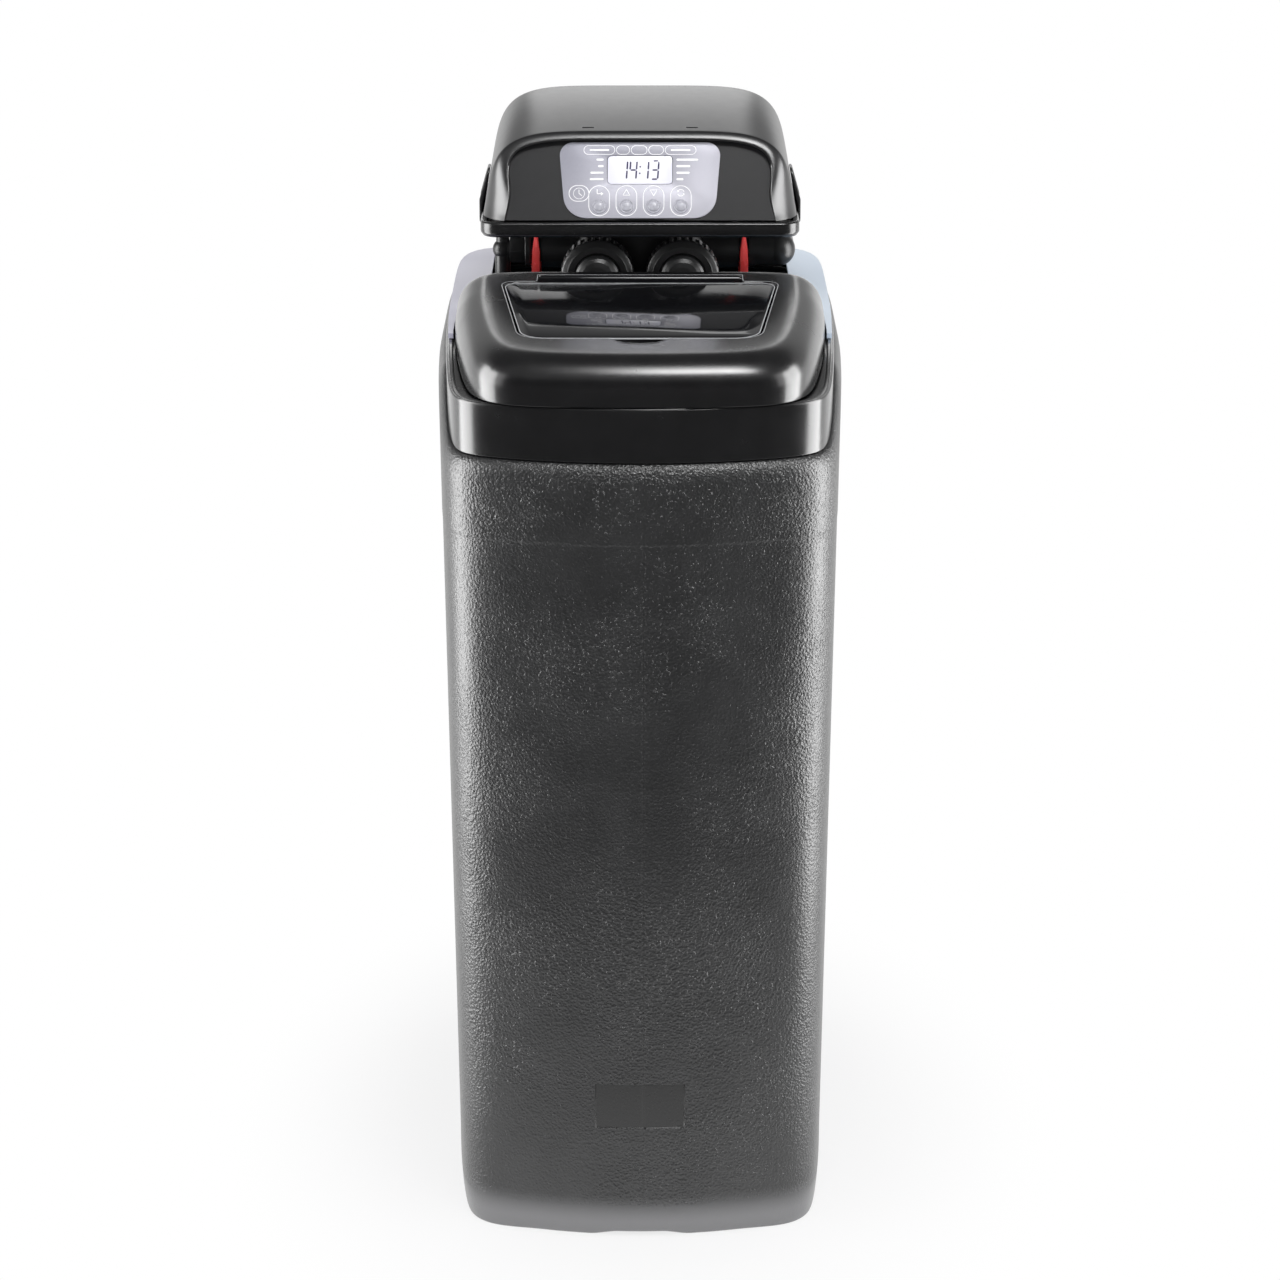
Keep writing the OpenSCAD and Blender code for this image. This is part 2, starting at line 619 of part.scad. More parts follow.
// Tray and hood round the valve.
tray_front = -3;
tray_back = tray_front + tray_d;
tray_wall = 4;
tray_corner = 11;
tray_in_corner = 8;
tray_hole_w = 54;
module base_tray() color(black) {
    translate([0, 0, tray_z]) linear_extrude(tray_floor_t) difference() {
        polygon(box_poly(-tray_w / 2, tray_w / 2, tray_front, tray_back, tray_corner));
        polygon(box_poly(-tray_hole_w / 2, tray_hole_w / 2, stack_front - 2, stack_back + 4, 4));
    }
    translate([0, 0, tray_floor]) linear_extrude(tray_h - tray_floor_t) difference() {
        polygon(box_poly(-tray_w / 2, tray_w / 2, tray_front, tray_back, tray_corner));
        polygon(box_poly(-tray_w / 2 + tray_wall, tray_w / 2 - tray_wall, tray_front + tray_wall,
                         tray_back - tray_wall, tray_in_corner));
    }
}

// Hood: an arch carried from the leaning front edge to the upright back edge.
hood_front = -1;
hood_back = 138;
hood_lean = 0.1;
arch_square = 5.5;
hood_stations = 8;
hood_hw = tray_w / 2 - 1;
hood_z = tray_top + 0.2;
function arch(a) = [sgn_pow(cos(a), 2 / arch_square), pow(abs(sin(a)), 2 / arch_square)];
function hood_h(s) = hood_front_h + hood_rise * sin(90 * s);
function hood_tan(s) = tan(face_tilt) * pow(1 - s, 2);
function hood_row(s, inset) =
    [for (i = [0:arch_n]) let (e = arch(180 * i / arch_n), v = (hood_h(s) - inset) * e.y)
        [(hood_hw - inset) * (1 - hood_lean * e.y) * e.x, mix(hood_front, hood_back, s) + v * hood_tan(s),
         hood_z + v]];
slot_x = 31;
slot_w = 7;
slot_y = hood_front + hood_front_h * tan(face_tilt) + 8;

module valve_hood() color(black) difference() {
    shell([for (k = [0:hood_stations]) hood_row(k / hood_stations, 0)],
          [for (k = [0:hood_stations]) hood_row(k / hood_stations, hood_wall)]);
    for (s = [-1, 1]) translate([s * slot_x - slot_w / 2, slot_y, hood_z + hood_front_h / 2])
        cube([slot_w, 1.6, hood_front_h]);
}

// Latches: a spring plate on each side of the tray, which leans in with the hood's side.
latch_t = 1.6;
latch_len = 26;
latch_h = 33;
latch_y = 40;
latch_gap = 0.2;
function hood_side(z) =
    let (s = (latch_y + latch_len / 2 - hood_front) / (hood_back - hood_front), e = (z - hood_z) / hood_h(s))
    hood_hw * (1 - hood_lean * e) * pow(1 - pow(e, arch_square), 1 / arch_square);
module hood_latches() color(black) for (s = [-1, 1])
    translate([0, latch_y + latch_len, 0]) rotate([90, 0, 0]) linear_extrude(latch_len) scale([s, 1])
        let (foot = tray_w / 2 + latch_gap, low = tray_z + 1, top = low + latch_h,
             head = hood_side(top) + 2 * latch_gap)
        polygon([[foot, low], [foot + latch_t, low], [foot + latch_t, hood_z + 6], [head + latch_t, top],
                 [head, top], [foot, hood_z + 1]]);

grommet_x = 60;
grommet_d = 10;
back_plate_y = hood_back - 3.5;
back_plate_t = 2.5;
tongue_in = 20;
module back_plate() color(black) difference() {
    along_y(0, back_plate_y, 0) linear_extrude(back_plate_t)
        polygon(concat([for (i = [0:arch_n])
                           let (e = arch(180 * i / arch_n), h = hood_h(1) - hood_wall - gap - 0.4)
                           [(hood_hw - hood_wall - gap) * (1 - hood_lean * e.y) * e.x, -hood_z - h * e.y]],
                       [[-hood_hw + tongue_in, -hood_z], [-hood_hw + tongue_in, -tray_floor - seat],
                        [hood_hw - tongue_in, -tray_floor - seat], [hood_hw - tongue_in, -hood_z]]));
    along_y(grommet_x, back_plate_y - 1, piston_z) cylinder(d = grommet_d, h = back_plate_t + 2);
}

module power_grommet() color(dark) along_y(grommet_x, back_plate_y - 2, piston_z) difference() {
    union() {
        cylinder(d = grommet_d - 2 * gap, h = 8);
        translate([0, 0, 4.5 + seat]) cylinder(d = grommet_d + 6, h = 3);
    }
    translate([0, 0, -1]) cylinder(d = 5, h = 12);
}

// The face's own frame: x across, y up the face, z out of it.
face_y = hood_front + 4.5;
face_t = 3;
label_t = 0.8;
label_low = 1.5;
label_taper = 4;
lcd_low = 21;
button_low = 7.2;
button_rise = 2.4;
board_in = 10;
board_t = 1.6;
board_w = 92;
board_h = 36;
board_low = 5;
post_in = 4;
post_d = 5;
module on_face() translate([0, face_y, hood_z]) rotate([90 - face_tilt, 0, 0]) children();
function button_at(i) = [(i - 1.5) * button_pitch, label_low + button_low];
module button_holes(d) for (i = [0:3]) translate(button_at(i)) circle(d = d);
module lcd_hole() translate([-lcd_w / 2 - gap, label_low + lcd_low - gap])
    square([lcd_w + 2 * gap, lcd_h + 2 * gap]);
function label_poly() =
    round_poly([[-label_w / 2 + label_taper, label_low], [label_w / 2 - label_taper, label_low],
                [label_w / 2, label_low + label_h], [-label_w / 2, label_low + label_h]], [14, 14, 8, 8]);

module front_fascia() color(black) on_face() translate([0, 0, -face_t]) linear_extrude(face_t) difference() {
    polygon(concat([for (i = [0:arch_n]) let (e = arch(180 * i / arch_n), w = hood_wall + 1.2)
                       [(hood_hw - w) * (1 - hood_lean * e.y) * e.x,
                        0.3 + (hood_front_h - w) / cos(face_tilt) * e.y]]));
    button_holes(button_d + 2 * gap);
    lcd_hole();
}

module panel_label() color(grey) on_face() linear_extrude(label_t) difference() {
    polygon(label_poly());
    button_holes(button_d + 2 * gap);
    lcd_hole();
}

module lcd_screen() color(white) on_face()
    translate([-lcd_w / 2, label_low + lcd_low, -face_t]) cube([lcd_w, lcd_h, face_t + label_t - 0.2]);

module control_board() color(green) on_face() {
    translate([-board_w / 2, board_low, -board_in]) cube([board_w, board_h, board_t]);
    for (s = [-1, 1]) for (y = [board_low + post_in, board_low + board_h - post_in])
        translate([s * (board_w / 2 - post_in), y, -board_in + board_t])
            cylinder(d = post_d, h = board_in - board_t - face_t - 0.2);
}

// Button: a domed cap in its hole with a plunger towards the board.
module button(i) color(pale) on_face() translate(concat(button_at(i), [-face_t])) rotate_extrude()
    polygon(concat([[0, -4.2], [2, -4.2], [2, 0.2], [button_d / 2, 0.2], [button_d / 2, face_t + 0.6]],
                   [for (k = [1:5]) let (t = 18 * k)
                       [button_d / 2 * cos(t), face_t + 0.6 + (button_rise - 0.6) * sin(t)]]));
module button_clock() button(0);
module button_up() button(1);
module button_down() button(2);
module button_regen() button(3);

// Ribbed nuts on the front ends of the two tubes, and what they hold.
nut_ribs = 30;
rib_deep = 1.1;
nut_len = 17;
nut_front = 10;
nut_lip = 3;
dome_d = 27;
module ribbed(d, h) linear_extrude(h)
    polygon([for (i = [0:nut_ribs - 1]) let (a = 360 / nut_ribs)
        each [polar(d / 2 - rib_deep, a * i), polar(d / 2 - rib_deep, a * (i + 0.35)),
              polar(d / 2, a * (i + 0.45)), polar(d / 2, a * (i + 0.9))]]);
module front_nut(s) color(black) along_y(s * port_x, nut_front, port_z) difference() {
    ribbed(nut_d, nut_len);
    translate([0, 0, -1]) cylinder(d = dome_d + 2 * gap, h = nut_len + 2);
    translate([0, 0, nut_lip]) cylinder(d = port_d + 2 * seat, h = nut_len);
}
module plug_nut() front_nut(-1);
module meter_nut() front_nut(1);

module dome_plug(deep, d) rotate_extrude()
    polygon(concat([for (k = [0:6]) let (t = 15 * k) [dome_d / 2 * sin(t), 6 - 6 * cos(t)]],
                   [[dome_d / 2, 9.3], [port_d / 2 - 0.2, 9.3],
                    [port_d / 2 - 0.2, port_front - nut_front + 6 - seat],
                    [d / 2, port_front - nut_front + 6 - seat], [d / 2, deep], [0, deep]]));
spindle_d = 3;
module meter_plug() color(black) along_y(-port_x, nut_front - 6, port_z) dome_plug(30, port_bore - 2 * gap);
module meter_body() color(black) along_y(port_x, nut_front - 6, port_z) dome_plug(56, spindle_d);
turbine_y = 38;
turbine_len = 18;
module meter_turbine() color(white) along_y(port_x, turbine_y, port_z) difference() {
    union() {
        cylinder(d = 8, h = turbine_len);
        for (k = [0:5]) rotate([0, 0, 60 * k]) translate([2.5, -0.6, 2])
            cube([port_bore / 2 - 0.8 - 2.5, 1.2, turbine_len - 4]);
    }
    translate([0, 0, -1]) cylinder(d = spindle_d + 2 * run, h = turbine_len + 2);
}

// Side fittings: a brine elbow on the left and a drain elbow on the right, each held by a red clip.
clip_t = 5.5;
clip_in = side_end + 0.7;
collar_in = clip_in + clip_t + 0.6;
collar_t = 3.5;
collar_d = 22;
neck_pipe_d = 11;
elbow_x = 84;
elbow_down = 22;
elbow_up = 13;
elbow_cap_d = 8;
drain_body_d = 20.2;
// How much an elbow's knuckle stands proud of its pipes
knuckle = 0.8;
drain_x = 84.5;
drain_back = 24;
drain_len = 28;
module stem(s) along_x(s < 0 ? -collar_in - collar_t : side_end - stem_deep + 1, side_y, side_z)
    cylinder(d = stem_d, h = collar_in + collar_t - side_end + stem_deep - 1);
module collar(s) along_x(s < 0 ? -collar_in - collar_t : collar_in, side_y, side_z)
    cylinder(d = collar_d, h = collar_t);

module brine_elbow() color(black) {
    stem(-1);
    collar(-1);
    along_x(-elbow_x, side_y, side_z) cylinder(d = neck_pipe_d, h = elbow_x - collar_in);
    translate([-elbow_x, side_y, side_z]) sphere(d = neck_pipe_d + knuckle);
    translate([-elbow_x, side_y, side_z - elbow_down]) cylinder(d = neck_pipe_d, h = elbow_down);
    translate([-elbow_x, side_y, side_z]) cylinder(d = elbow_cap_d, h = elbow_up);
}
module brine_nut() color(black) along_x(-elbow_x + neck_pipe_d / 2 + seat, side_y, side_z) difference() {
    cylinder(d = 18, h = elbow_x - neck_pipe_d / 2 - collar_in - collar_t - 2 * seat, $fn = 6);
    translate([0, 0, -1]) cylinder(d = neck_pipe_d + 2 * seat, h = 20);
}
module drain_elbow() color(black) {
    stem(1);
    collar(1);
    along_x(collar_in, side_y, side_z) cylinder(d = drain_body_d, h = drain_x - collar_in);
    translate([drain_x, side_y, side_z]) sphere(d = drain_body_d + knuckle);
    along_y(drain_x, side_y, side_z) cylinder(d = drain_body_d, h = drain_back);
    along_y(drain_x, side_y, side_z) cylinder(d = drain_d, h = drain_back + drain_len);
}

clip_hw = 13;
clip_top = 13;
clip_low = 17;
module side_clip(s) color(red)
    along_x(s < 0 ? -clip_in - clip_t : clip_in, side_y, side_z) linear_extrude(clip_t) difference() {
        polygon(round_poly([[-clip_top, -clip_hw + 2], [-clip_top, clip_hw - 2],
                            [clip_low, clip_hw], [clip_low, -clip_hw]], [5, 5, 3, 3]));
        circle(d = stem_d + 2 * gap);
        translate([0, -stem_d / 2 - gap]) square([clip_low + 1, stem_d + 2 * gap]);
    }
module brine_clip() side_clip(-1);
module drain_clip() side_clip(1);

// Brine well with its cap, pickup tube, air check and float; the brine line runs from it to the elbow.
well_x = -46;
well_y = -118;
well_z = cab_wall + seat;
well_wall = 2;
well_top = seat_z - well_below;
well_h = well_top - well_z;
well_slot = [6, 50];
well_slot_z = 12;
well_cap_skirt = 8;
well_cap_t = 3;
float_h = 40;
pickup_d = 10;
pickup_z = 30;
pickup_top = well_top + 18;
check_d = 28;
check_h = 54;
module at_well(z) translate([well_x, well_y, z]) children();

module brine_well() color(white) at_well(well_z) difference() {
    pipe(well_d, well_d - 2 * well_wall, well_h);
    for (k = [0:3]) rotate([0, 0, 45 + 90 * k]) translate([well_d / 4, -well_slot[0] / 2, well_slot_z])
        cube([well_d / 2, well_slot[0], well_slot[1]]);
}
module well_cap() color(white) at_well(well_top - well_cap_skirt) difference() {
    cylinder(d = well_d + 6, h = well_cap_skirt + seat + well_cap_t);
    translate([0, 0, -1]) pipe(well_d + 2 * seat, well_d - 2 * well_wall - 2 * seat, well_cap_skirt + 1 + seat);
    translate([0, 0, -1]) cylinder(d = pickup_d + 2 * gap, h = well_cap_skirt + well_cap_t + 3);
    translate([0, 0, -1]) cylinder(d = well_d - 14, h = well_cap_skirt + 1);
}
module pickup_tube() color(white) at_well(pickup_z) pipe(pickup_d, pickup_d - 4, pickup_top - pickup_z);
module air_check() color(grey) at_well(well_z) difference() {
    cylinder(d = check_d, h = check_h);
    translate([0, 0, pickup_z - well_z - gap]) cylinder(d = pickup_d + 2 * gap, h = check_h);
}
module brine_float() color(red) at_well(well_z + check_h + 0.5) pipe(float_d, pickup_d + 2 * run, float_h);

// The brine line's route: straight down out of the elbow, a bend, a long easy run, a bend and into the well.
line_sides = 12;
line_bend = 4 * line_d;
line_straight = 6;
line_turn = 25;
line_pull = 45;
line_steps = 6;
line_top = side_z - elbow_down;
line_low = line_top - line_straight - line_bend;
line_high = pickup_top + line_straight + line_bend;
line_head = [sin(line_turn), -cos(line_turn), 0];
line_from = [-elbow_x, side_y - line_bend, line_low];
line_to = [well_x, well_y, line_high] - line_bend * line_head;
function line_ease(t) =
    pow(1 - t, 3) * line_from + 3 * t * pow(1 - t, 2) * (line_from + [0, -line_pull, 0])
    + 3 * t * t * (1 - t) * (line_to - line_pull * line_head) + pow(t, 3) * line_to;
line_path = concat(
    [[-elbow_x, side_y, line_top]],
    [for (k = [0:line_steps]) let (t = 90 * k / line_steps)
        [-elbow_x, side_y - line_bend * (1 - cos(t)), line_low + line_bend * (1 - sin(t))]],
    [for (k = [1:line_steps + 1]) line_ease(k / (line_steps + 2))],
    [for (k = [0:line_steps]) let (t = 90 * k / line_steps)
        line_to + line_bend * (sin(t) * line_head - [0, 0, 1 - cos(t)])],
    [[well_x, well_y, pickup_top]]);
// Rings square to the path: the side vector is taken across the path's own heading.
function path_dir(i) =
    let (a = line_path[max(0, i - 1)], b = line_path[min(len(line_path) - 1, i + 1)]) (b - a) / norm(b - a);
function line_ring(i) =
    let (d = path_dir(i), u = cross(d, [1, 0, 0]) / norm(cross(d, [1, 0, 0])), v = cross(d, u))
    [for (k = [0:line_sides - 1]) let (a = 360 * k / line_sides)
        line_path[i] + line_d / 2 * (cos(a) * u + sin(a) * v)];
module brine_line() color(dark) loft([for (i = [0:len(line_path) - 1]) line_ring(i)]);

// Bypass behind the valve: two tubes, a rotor with a handle in each, and a cross tube.
bypass_y = 166;
bypass_front = port_back + 1;
bypass_back = 196;
rotor_room_d = 42;
rotor_d = 32;
rotor_low = port_z - 13.7;
room_low = port_z - 16;
room_top = port_z + 19;
cap_t = 2.6;
rotor_stem_d = 12;
handle_z = room_top + cap_t + 2 * seat;
handle_h = 8;
coupling_len = 16;
coupling_over = 7;
module coupling_nuts() color(black) for (s = [-1, 1])
    along_y(s * port_x, port_back - coupling_over, port_z) difference() {
        ribbed(nut_d, coupling_len);
        translate([0, 0, -1]) cylinder(d = port_d + 2 * seat, h = coupling_len + 2);
    }
module bypass_body() color(black) difference() {
    union() {
        for (s = [-1, 1]) {
            along_y(s * port_x, bypass_front, port_z) cylinder(d = port_d, h = bypass_back - bypass_front);
            translate([s * port_x, bypass_y, room_low]) cylinder(d = rotor_room_d, h = room_top - room_low);
        }
        along_x(-port_x, bypass_y, port_z) cylinder(d = 24, h = 2 * port_x);
    }
    for (s = [-1, 1]) {
        along_y(s * port_x, bypass_front - 1, port_z)
            cylinder(d = port_bore - 2, h = bypass_back - bypass_front + 2);
        translate([s * port_x, bypass_y, rotor_low - seat]) cylinder(d = rotor_d + 2 * run, h = 60);
    }
    along_x(-port_x, bypass_y, port_z) cylinder(d = 16, h = 2 * port_x);
}
module bypass_caps() color(dark) for (s = [-1, 1]) translate([s * port_x, bypass_y, room_top + seat])
    pipe(rotor_room_d, rotor_stem_d + 2 * gap, cap_t);
module rotor(s) color(white) difference() {
    union() {
        translate([s * port_x, bypass_y, rotor_low]) cylinder(d = rotor_d, h = room_top - seat - rotor_low);
        translate([s * port_x, bypass_y, rotor_low])
            cylinder(d = rotor_stem_d, h = handle_z + handle_h - 1 - rotor_low);
    }
    along_y(s * port_x, bypass_y - 30, port_z) cylinder(d = port_bore - 3, h = 60);
}
module inlet_rotor() rotor(-1);
module outlet_rotor() rotor(1);

// Handle: an arrow that points along the flow.
module handle(s, turn) color(red) translate([s * port_x, bypass_y, handle_z]) rotate([0, 0, turn]) difference() {
    neck = handle_len / 2 - 14;
    linear_extrude(handle_h)
        polygon([[0, handle_len / 2], [-9.5, neck], [-5, neck], [-8.5, -5], [-6.5, -handle_len / 2],
                 [6.5, -handle_len / 2], [8.5, -5], [5, neck], [9.5, neck]]);
    translate([0, 0, -1]) cylinder(d = rotor_stem_d + 2 * run, h = 20);
}
module inlet_handle() handle(-1, 180);
module outlet_handle() handle(1, 0);

// Threaded pipe tails and the nuts that hold them to the bypass.
tail_nut_d = 39;
tail_nut_front = 187.6;
tail_nut_len = 16;
tail_flange_t = 3;
tail_relief = 1.1;
tail_proud = 5;
tail_end = rear_y + tail_proud + tail_thread;
module pipe_tails() color(steel) for (s = [-1, 1]) along_y(s * port_x, bypass_back + seat, port_z) difference() {
    union() {
        cylinder(d = port_d, h = tail_flange_t);
        cylinder(d = tail_d - 2 * tail_relief, h = tail_end - bypass_back - seat);
        translate([0, 0, tail_end - bypass_back - seat - tail_thread]) cylinder(d = tail_d, h = tail_thread);
    }
    translate([0, 0, -1]) cylinder(d = port_bore - 2, h = tail_end - bypass_back + 2);
}
module tail_nuts() color(black) for (s = [-1, 1]) along_y(s * port_x, tail_nut_front, port_z) difference() {
    ribbed(tail_nut_d, tail_nut_len);
    translate([0, 0, -1])
        cylinder(d = port_d + 2 * seat, h = bypass_back + tail_flange_t + 2 * seat - tail_nut_front + 1);
    translate([0, 0, -1]) cylinder(d = tail_d + 2 * seat, h = tail_nut_len + 2);
}

// Overflow spigot through the back wall, with its nut inside.
wall_back = rear_y - draft_at(overflow_z);
overflow_len = 26;
overflow_flange_t = 4;
overflow_nut_t = 10;
overflow_inside = 24;
module overflow_spigot() color(dark) along_y(overflow_x, wall_back - overflow_inside, overflow_z) difference() {
    out = overflow_inside + seat;
    union() {
        cylinder(d = overflow_root_d, h = out + 1);
        translate([0, 0, out]) cylinder(d = overflow_root_d + 11, h = overflow_flange_t);
        translate([0, 0, out]) cylinder(d = overflow_d, h = overflow_flange_t + overflow_len);
    }
    translate([0, 0, -1]) cylinder(d = overflow_d - 5, h = out + overflow_flange_t + overflow_len + 2);
}
module overflow_nut() color(dark)
    along_y(overflow_x, wall_back - cab_wall - 1.4 - overflow_nut_t, overflow_z) difference() {
        cylinder(d = overflow_root_d + 10, h = overflow_nut_t, $fn = 6);
        translate([0, 0, -1]) cylinder(d = overflow_root_d + 2 * seat, h = overflow_nut_t + 2);
    }

cabinet_shell();
lid_frame();
rear_deck();
salt_lid();
window_flap();
resin_tank();
tank_boot();
resin_bed();
riser_tube();
bottom_strainer();
top_basket();
valve_body();
spacer_stack();
piston();
drive_cap();
drive_bracket();
motor();
motor_pinion();
idler_gear();
drive_gear();
control_board();
base_tray();
valve_hood();
hood_latches();
back_plate();
front_fascia();
panel_label();
lcd_screen();
button_clock();
button_up();
button_down();
button_regen();
meter_nut();
meter_body();
meter_turbine();
plug_nut();
meter_plug();
brine_elbow();
brine_nut();
brine_clip();
drain_elbow();
drain_clip();
brine_line();
brine_well();
well_cap();
pickup_tube();
brine_float();
air_check();
coupling_nuts();
bypass_body();
bypass_caps();
inlet_rotor();
outlet_rotor();
inlet_handle();
outlet_handle();
pipe_tails();
tail_nuts();
overflow_spigot();
overflow_nut();
power_grommet();
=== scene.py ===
import json

import bpy
import numpy as np
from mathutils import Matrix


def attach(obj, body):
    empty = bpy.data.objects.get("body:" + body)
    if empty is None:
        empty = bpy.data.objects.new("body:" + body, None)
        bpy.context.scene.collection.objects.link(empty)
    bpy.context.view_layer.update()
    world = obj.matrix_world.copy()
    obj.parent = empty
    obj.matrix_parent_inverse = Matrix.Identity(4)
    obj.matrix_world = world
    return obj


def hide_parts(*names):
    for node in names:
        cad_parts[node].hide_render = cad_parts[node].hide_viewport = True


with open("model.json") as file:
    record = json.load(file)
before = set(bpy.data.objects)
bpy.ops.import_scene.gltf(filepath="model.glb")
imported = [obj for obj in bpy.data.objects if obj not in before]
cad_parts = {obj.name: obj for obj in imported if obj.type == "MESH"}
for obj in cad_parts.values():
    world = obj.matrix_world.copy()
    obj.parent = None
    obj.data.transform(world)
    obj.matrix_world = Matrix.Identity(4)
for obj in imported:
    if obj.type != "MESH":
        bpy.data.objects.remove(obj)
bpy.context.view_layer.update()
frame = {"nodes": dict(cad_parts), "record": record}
nodes = frame["nodes"]
mm = 0.001
print("frame loaded:", len(nodes), "nodes")


def addObject(name, data):
    made = bpy.data.objects.new(name, data)
    bpy.context.scene.collection.objects.link(made)
    return made


# Camera

cameraView = {"place": (0, -2.605, 1.055), "down": 16, "lens": 125, "sensor": 36}

cameraData = bpy.data.cameras.new("photoCamera")
cameraData.lens = cameraView["lens"]
cameraData.sensor_width = cameraView["sensor"]
camera = addObject("photoCamera", cameraData)
camera.location = cameraView["place"]
camera.rotation_euler = (np.radians(90 - cameraView["down"]), 0, 0)
bpy.context.scene.camera = camera


# Mesh helpers: all lengths in millimetres until the mesh is made

def together(*parts):
    # numbers and arrays side by side, as the last axis of one array
    return np.stack(np.broadcast_arrays(*parts), axis=-1)


def unit(steps):
    return steps / (np.linalg.norm(steps, axis=-1, keepdims=True) + 1e-9)


def wayAlong(points):
    # distance walked from the first point to each
    return np.concatenate([[0], np.cumsum(np.linalg.norm(np.diff(points, axis=0), axis=1))])


def gridSkin(grid, loop=False, ring=True):
    # quads over rows and columns; a ring joins the last column to the first and a loop the last row to the
    # first, and flat faces close what stays open
    rows, cols = grid.shape[:2]
    index = np.arange(rows * cols).reshape(rows, cols)
    wide = np.concatenate([index, index[:, :1]], axis=1) if ring else index
    wide = np.concatenate([wide, wide[:1]], axis=0) if loop else wide
    quads = np.stack([wide[:-1, :-1], wide[:-1, 1:], wide[1:, 1:], wide[1:, :-1]], axis=-1)
    faces = quads.reshape(-1, 4).tolist()
    if not loop:
        faces += [index[0, ::-1].tolist(), index[-1].tolist()]
    if not ring:
        faces += [index[:, 0].tolist(), index[::-1, -1].tolist()]
    return grid.reshape(-1, 3), faces


def makePiece(name, skins, body, slot, replaced=(), sharp=32, finish=None):
    # several skins become one mesh at the origin; edges steeper than sharp stay crisp
    starts = np.cumsum([0] + [len(points) for points, faces in skins])
    points = np.concatenate([points for points, faces in skins]) * mm
    faces = [[corner + start for corner in face]
             for start, (own, faceList) in zip(starts, skins) for face in faceList]
    mesh = bpy.data.meshes.new(name)
    mesh.from_pydata(points.tolist(), [], faces)
    mesh.polygons.foreach_set("use_smooth", np.ones(len(faces), dtype=bool))
    mesh.set_sharp_from_angle(angle=np.radians(sharp))
    mesh.materials.append(finish or finishes[slot])
    piece = addObject(name, mesh)
    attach(piece, body)
    if replaced:
        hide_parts(*replaced)
    return piece


def softened(chain, radii, steps=3, loop=False):
    # each corner of a chain of points or rings gives way to a curve: (1-t)^2 A + 2t(1-t) corner + t^2 B
    chain = np.asarray(chain, dtype=float)
    radius = np.asarray(radii, dtype=float).reshape((-1,) + (1,) * (chain.ndim - 1))

    def towards(shift):
        step = np.roll(chain, shift, axis=0) - chain
        far = np.linalg.norm(step, axis=-1, keepdims=True) + 1e-9
        return chain + step / far * np.minimum(radius, 0.45 * far)

    t = np.linspace(0, 1, steps + 1).reshape((-1,) + (1,) * chain.ndim)
    curve = (1 - t) ** 2 * towards(1) + 2 * t * (1 - t) * chain + t ** 2 * towards(-1)
    count = len(chain)
    plain = [radii[i] <= 0 or (not loop and i in (0, count - 1)) for i in range(count)]
    return np.concatenate([chain[i:i + 1] if plain[i] else curve[:, i] for i in range(count)])


def roundedOutline(corners, radii, steps=8):
    # a polygon whose corners are arcs of their own radius
    corners = np.asarray(corners, dtype=float)
    pieces = []
    for corner, before, after, radius in zip(corners, np.roll(corners, 1, 0), np.roll(corners, -1, 0), radii):
        toBefore, toAfter = unit(before - corner), unit(after - corner)
        half = np.arccos(np.clip(toBefore @ toAfter, -1, 1)) / 2
        centre = corner + unit(toBefore + toAfter) * radius / np.sin(half)
        start = corner + toBefore * radius / np.tan(half) - centre
        end = corner + toAfter * radius / np.tan(half) - centre
        a = np.arctan2(start[1], start[0])
        sweep = (np.arctan2(end[1], end[0]) - a + np.pi) % (2 * np.pi) - np.pi
        turn = a + sweep * np.linspace(0, 1, steps + 1)
        pieces.append(centre + radius * together(np.cos(turn), np.sin(turn)))
    return np.concatenate(pieces)


def boxOutline(half, low, high, radius, steps=8, x=0):
    return roundedOutline([[x - half, low], [x + half, low], [x + half, high], [x - half, high]],
                          [radius] * 4, steps)


def evenRing(outline, count):
    # the same closed outline with points an even distance apart
    closed = np.concatenate([outline, outline[:1]])
    way = wayAlong(closed)
    at = np.linspace(0, way[-1], count, endpoint=False)
    return together(*(np.interp(at, way, line) for line in closed.T))


def insetRing(outline, inset):
    # every point moved inwards, square to the line through its two neighbours
    along = unit(np.roll(outline, -1, axis=0) - np.roll(outline, 1, axis=0))
    return outline - inset * together(along[:, 1], -along[:, 0])


def slabRows(outline, rows):
    # one ring for each (inset, height): the outline carried upwards and drawn in
    return np.stack([together(*insetRing(outline, inset).T, height) for inset, height in rows])


def slabSkin(outline, rows, place):
    return gridSkin(place(slabRows(outline, rows)))


axisFrames = {"x": ((0, 1, 0), (0, 0, 1), (1, 0, 0)), "y": ((0, 0, 1), (1, 0, 0), (0, 1, 0)),
              "z": ((1, 0, 0), (0, 1, 0), (0, 0, 1))}


def turned(profile, origin, axis="z", count=64, loop=False, wave=None, vectors=None):
    # a profile of (radius, height) turned about an axis; wave(angle, height, radius) is taken off the radius
    profile = np.asarray(profile, dtype=float)
    first, second, up = np.array(vectors or axisFrames[axis], dtype=float)
    angle = np.linspace(0, 2 * np.pi, count, endpoint=False)
    radius = np.repeat(profile[:, :1], count, axis=1)
    if wave is not None:
        radius = radius - wave(angle[None, :], profile[:, 1:2], profile[:, :1])
    around = np.cos(angle)[:, None] * first + np.sin(angle)[:, None] * second
    grid = np.asarray(origin, dtype=float) + radius[..., None] * around + profile[:, None, 1:2] * up
    return gridSkin(grid, loop)


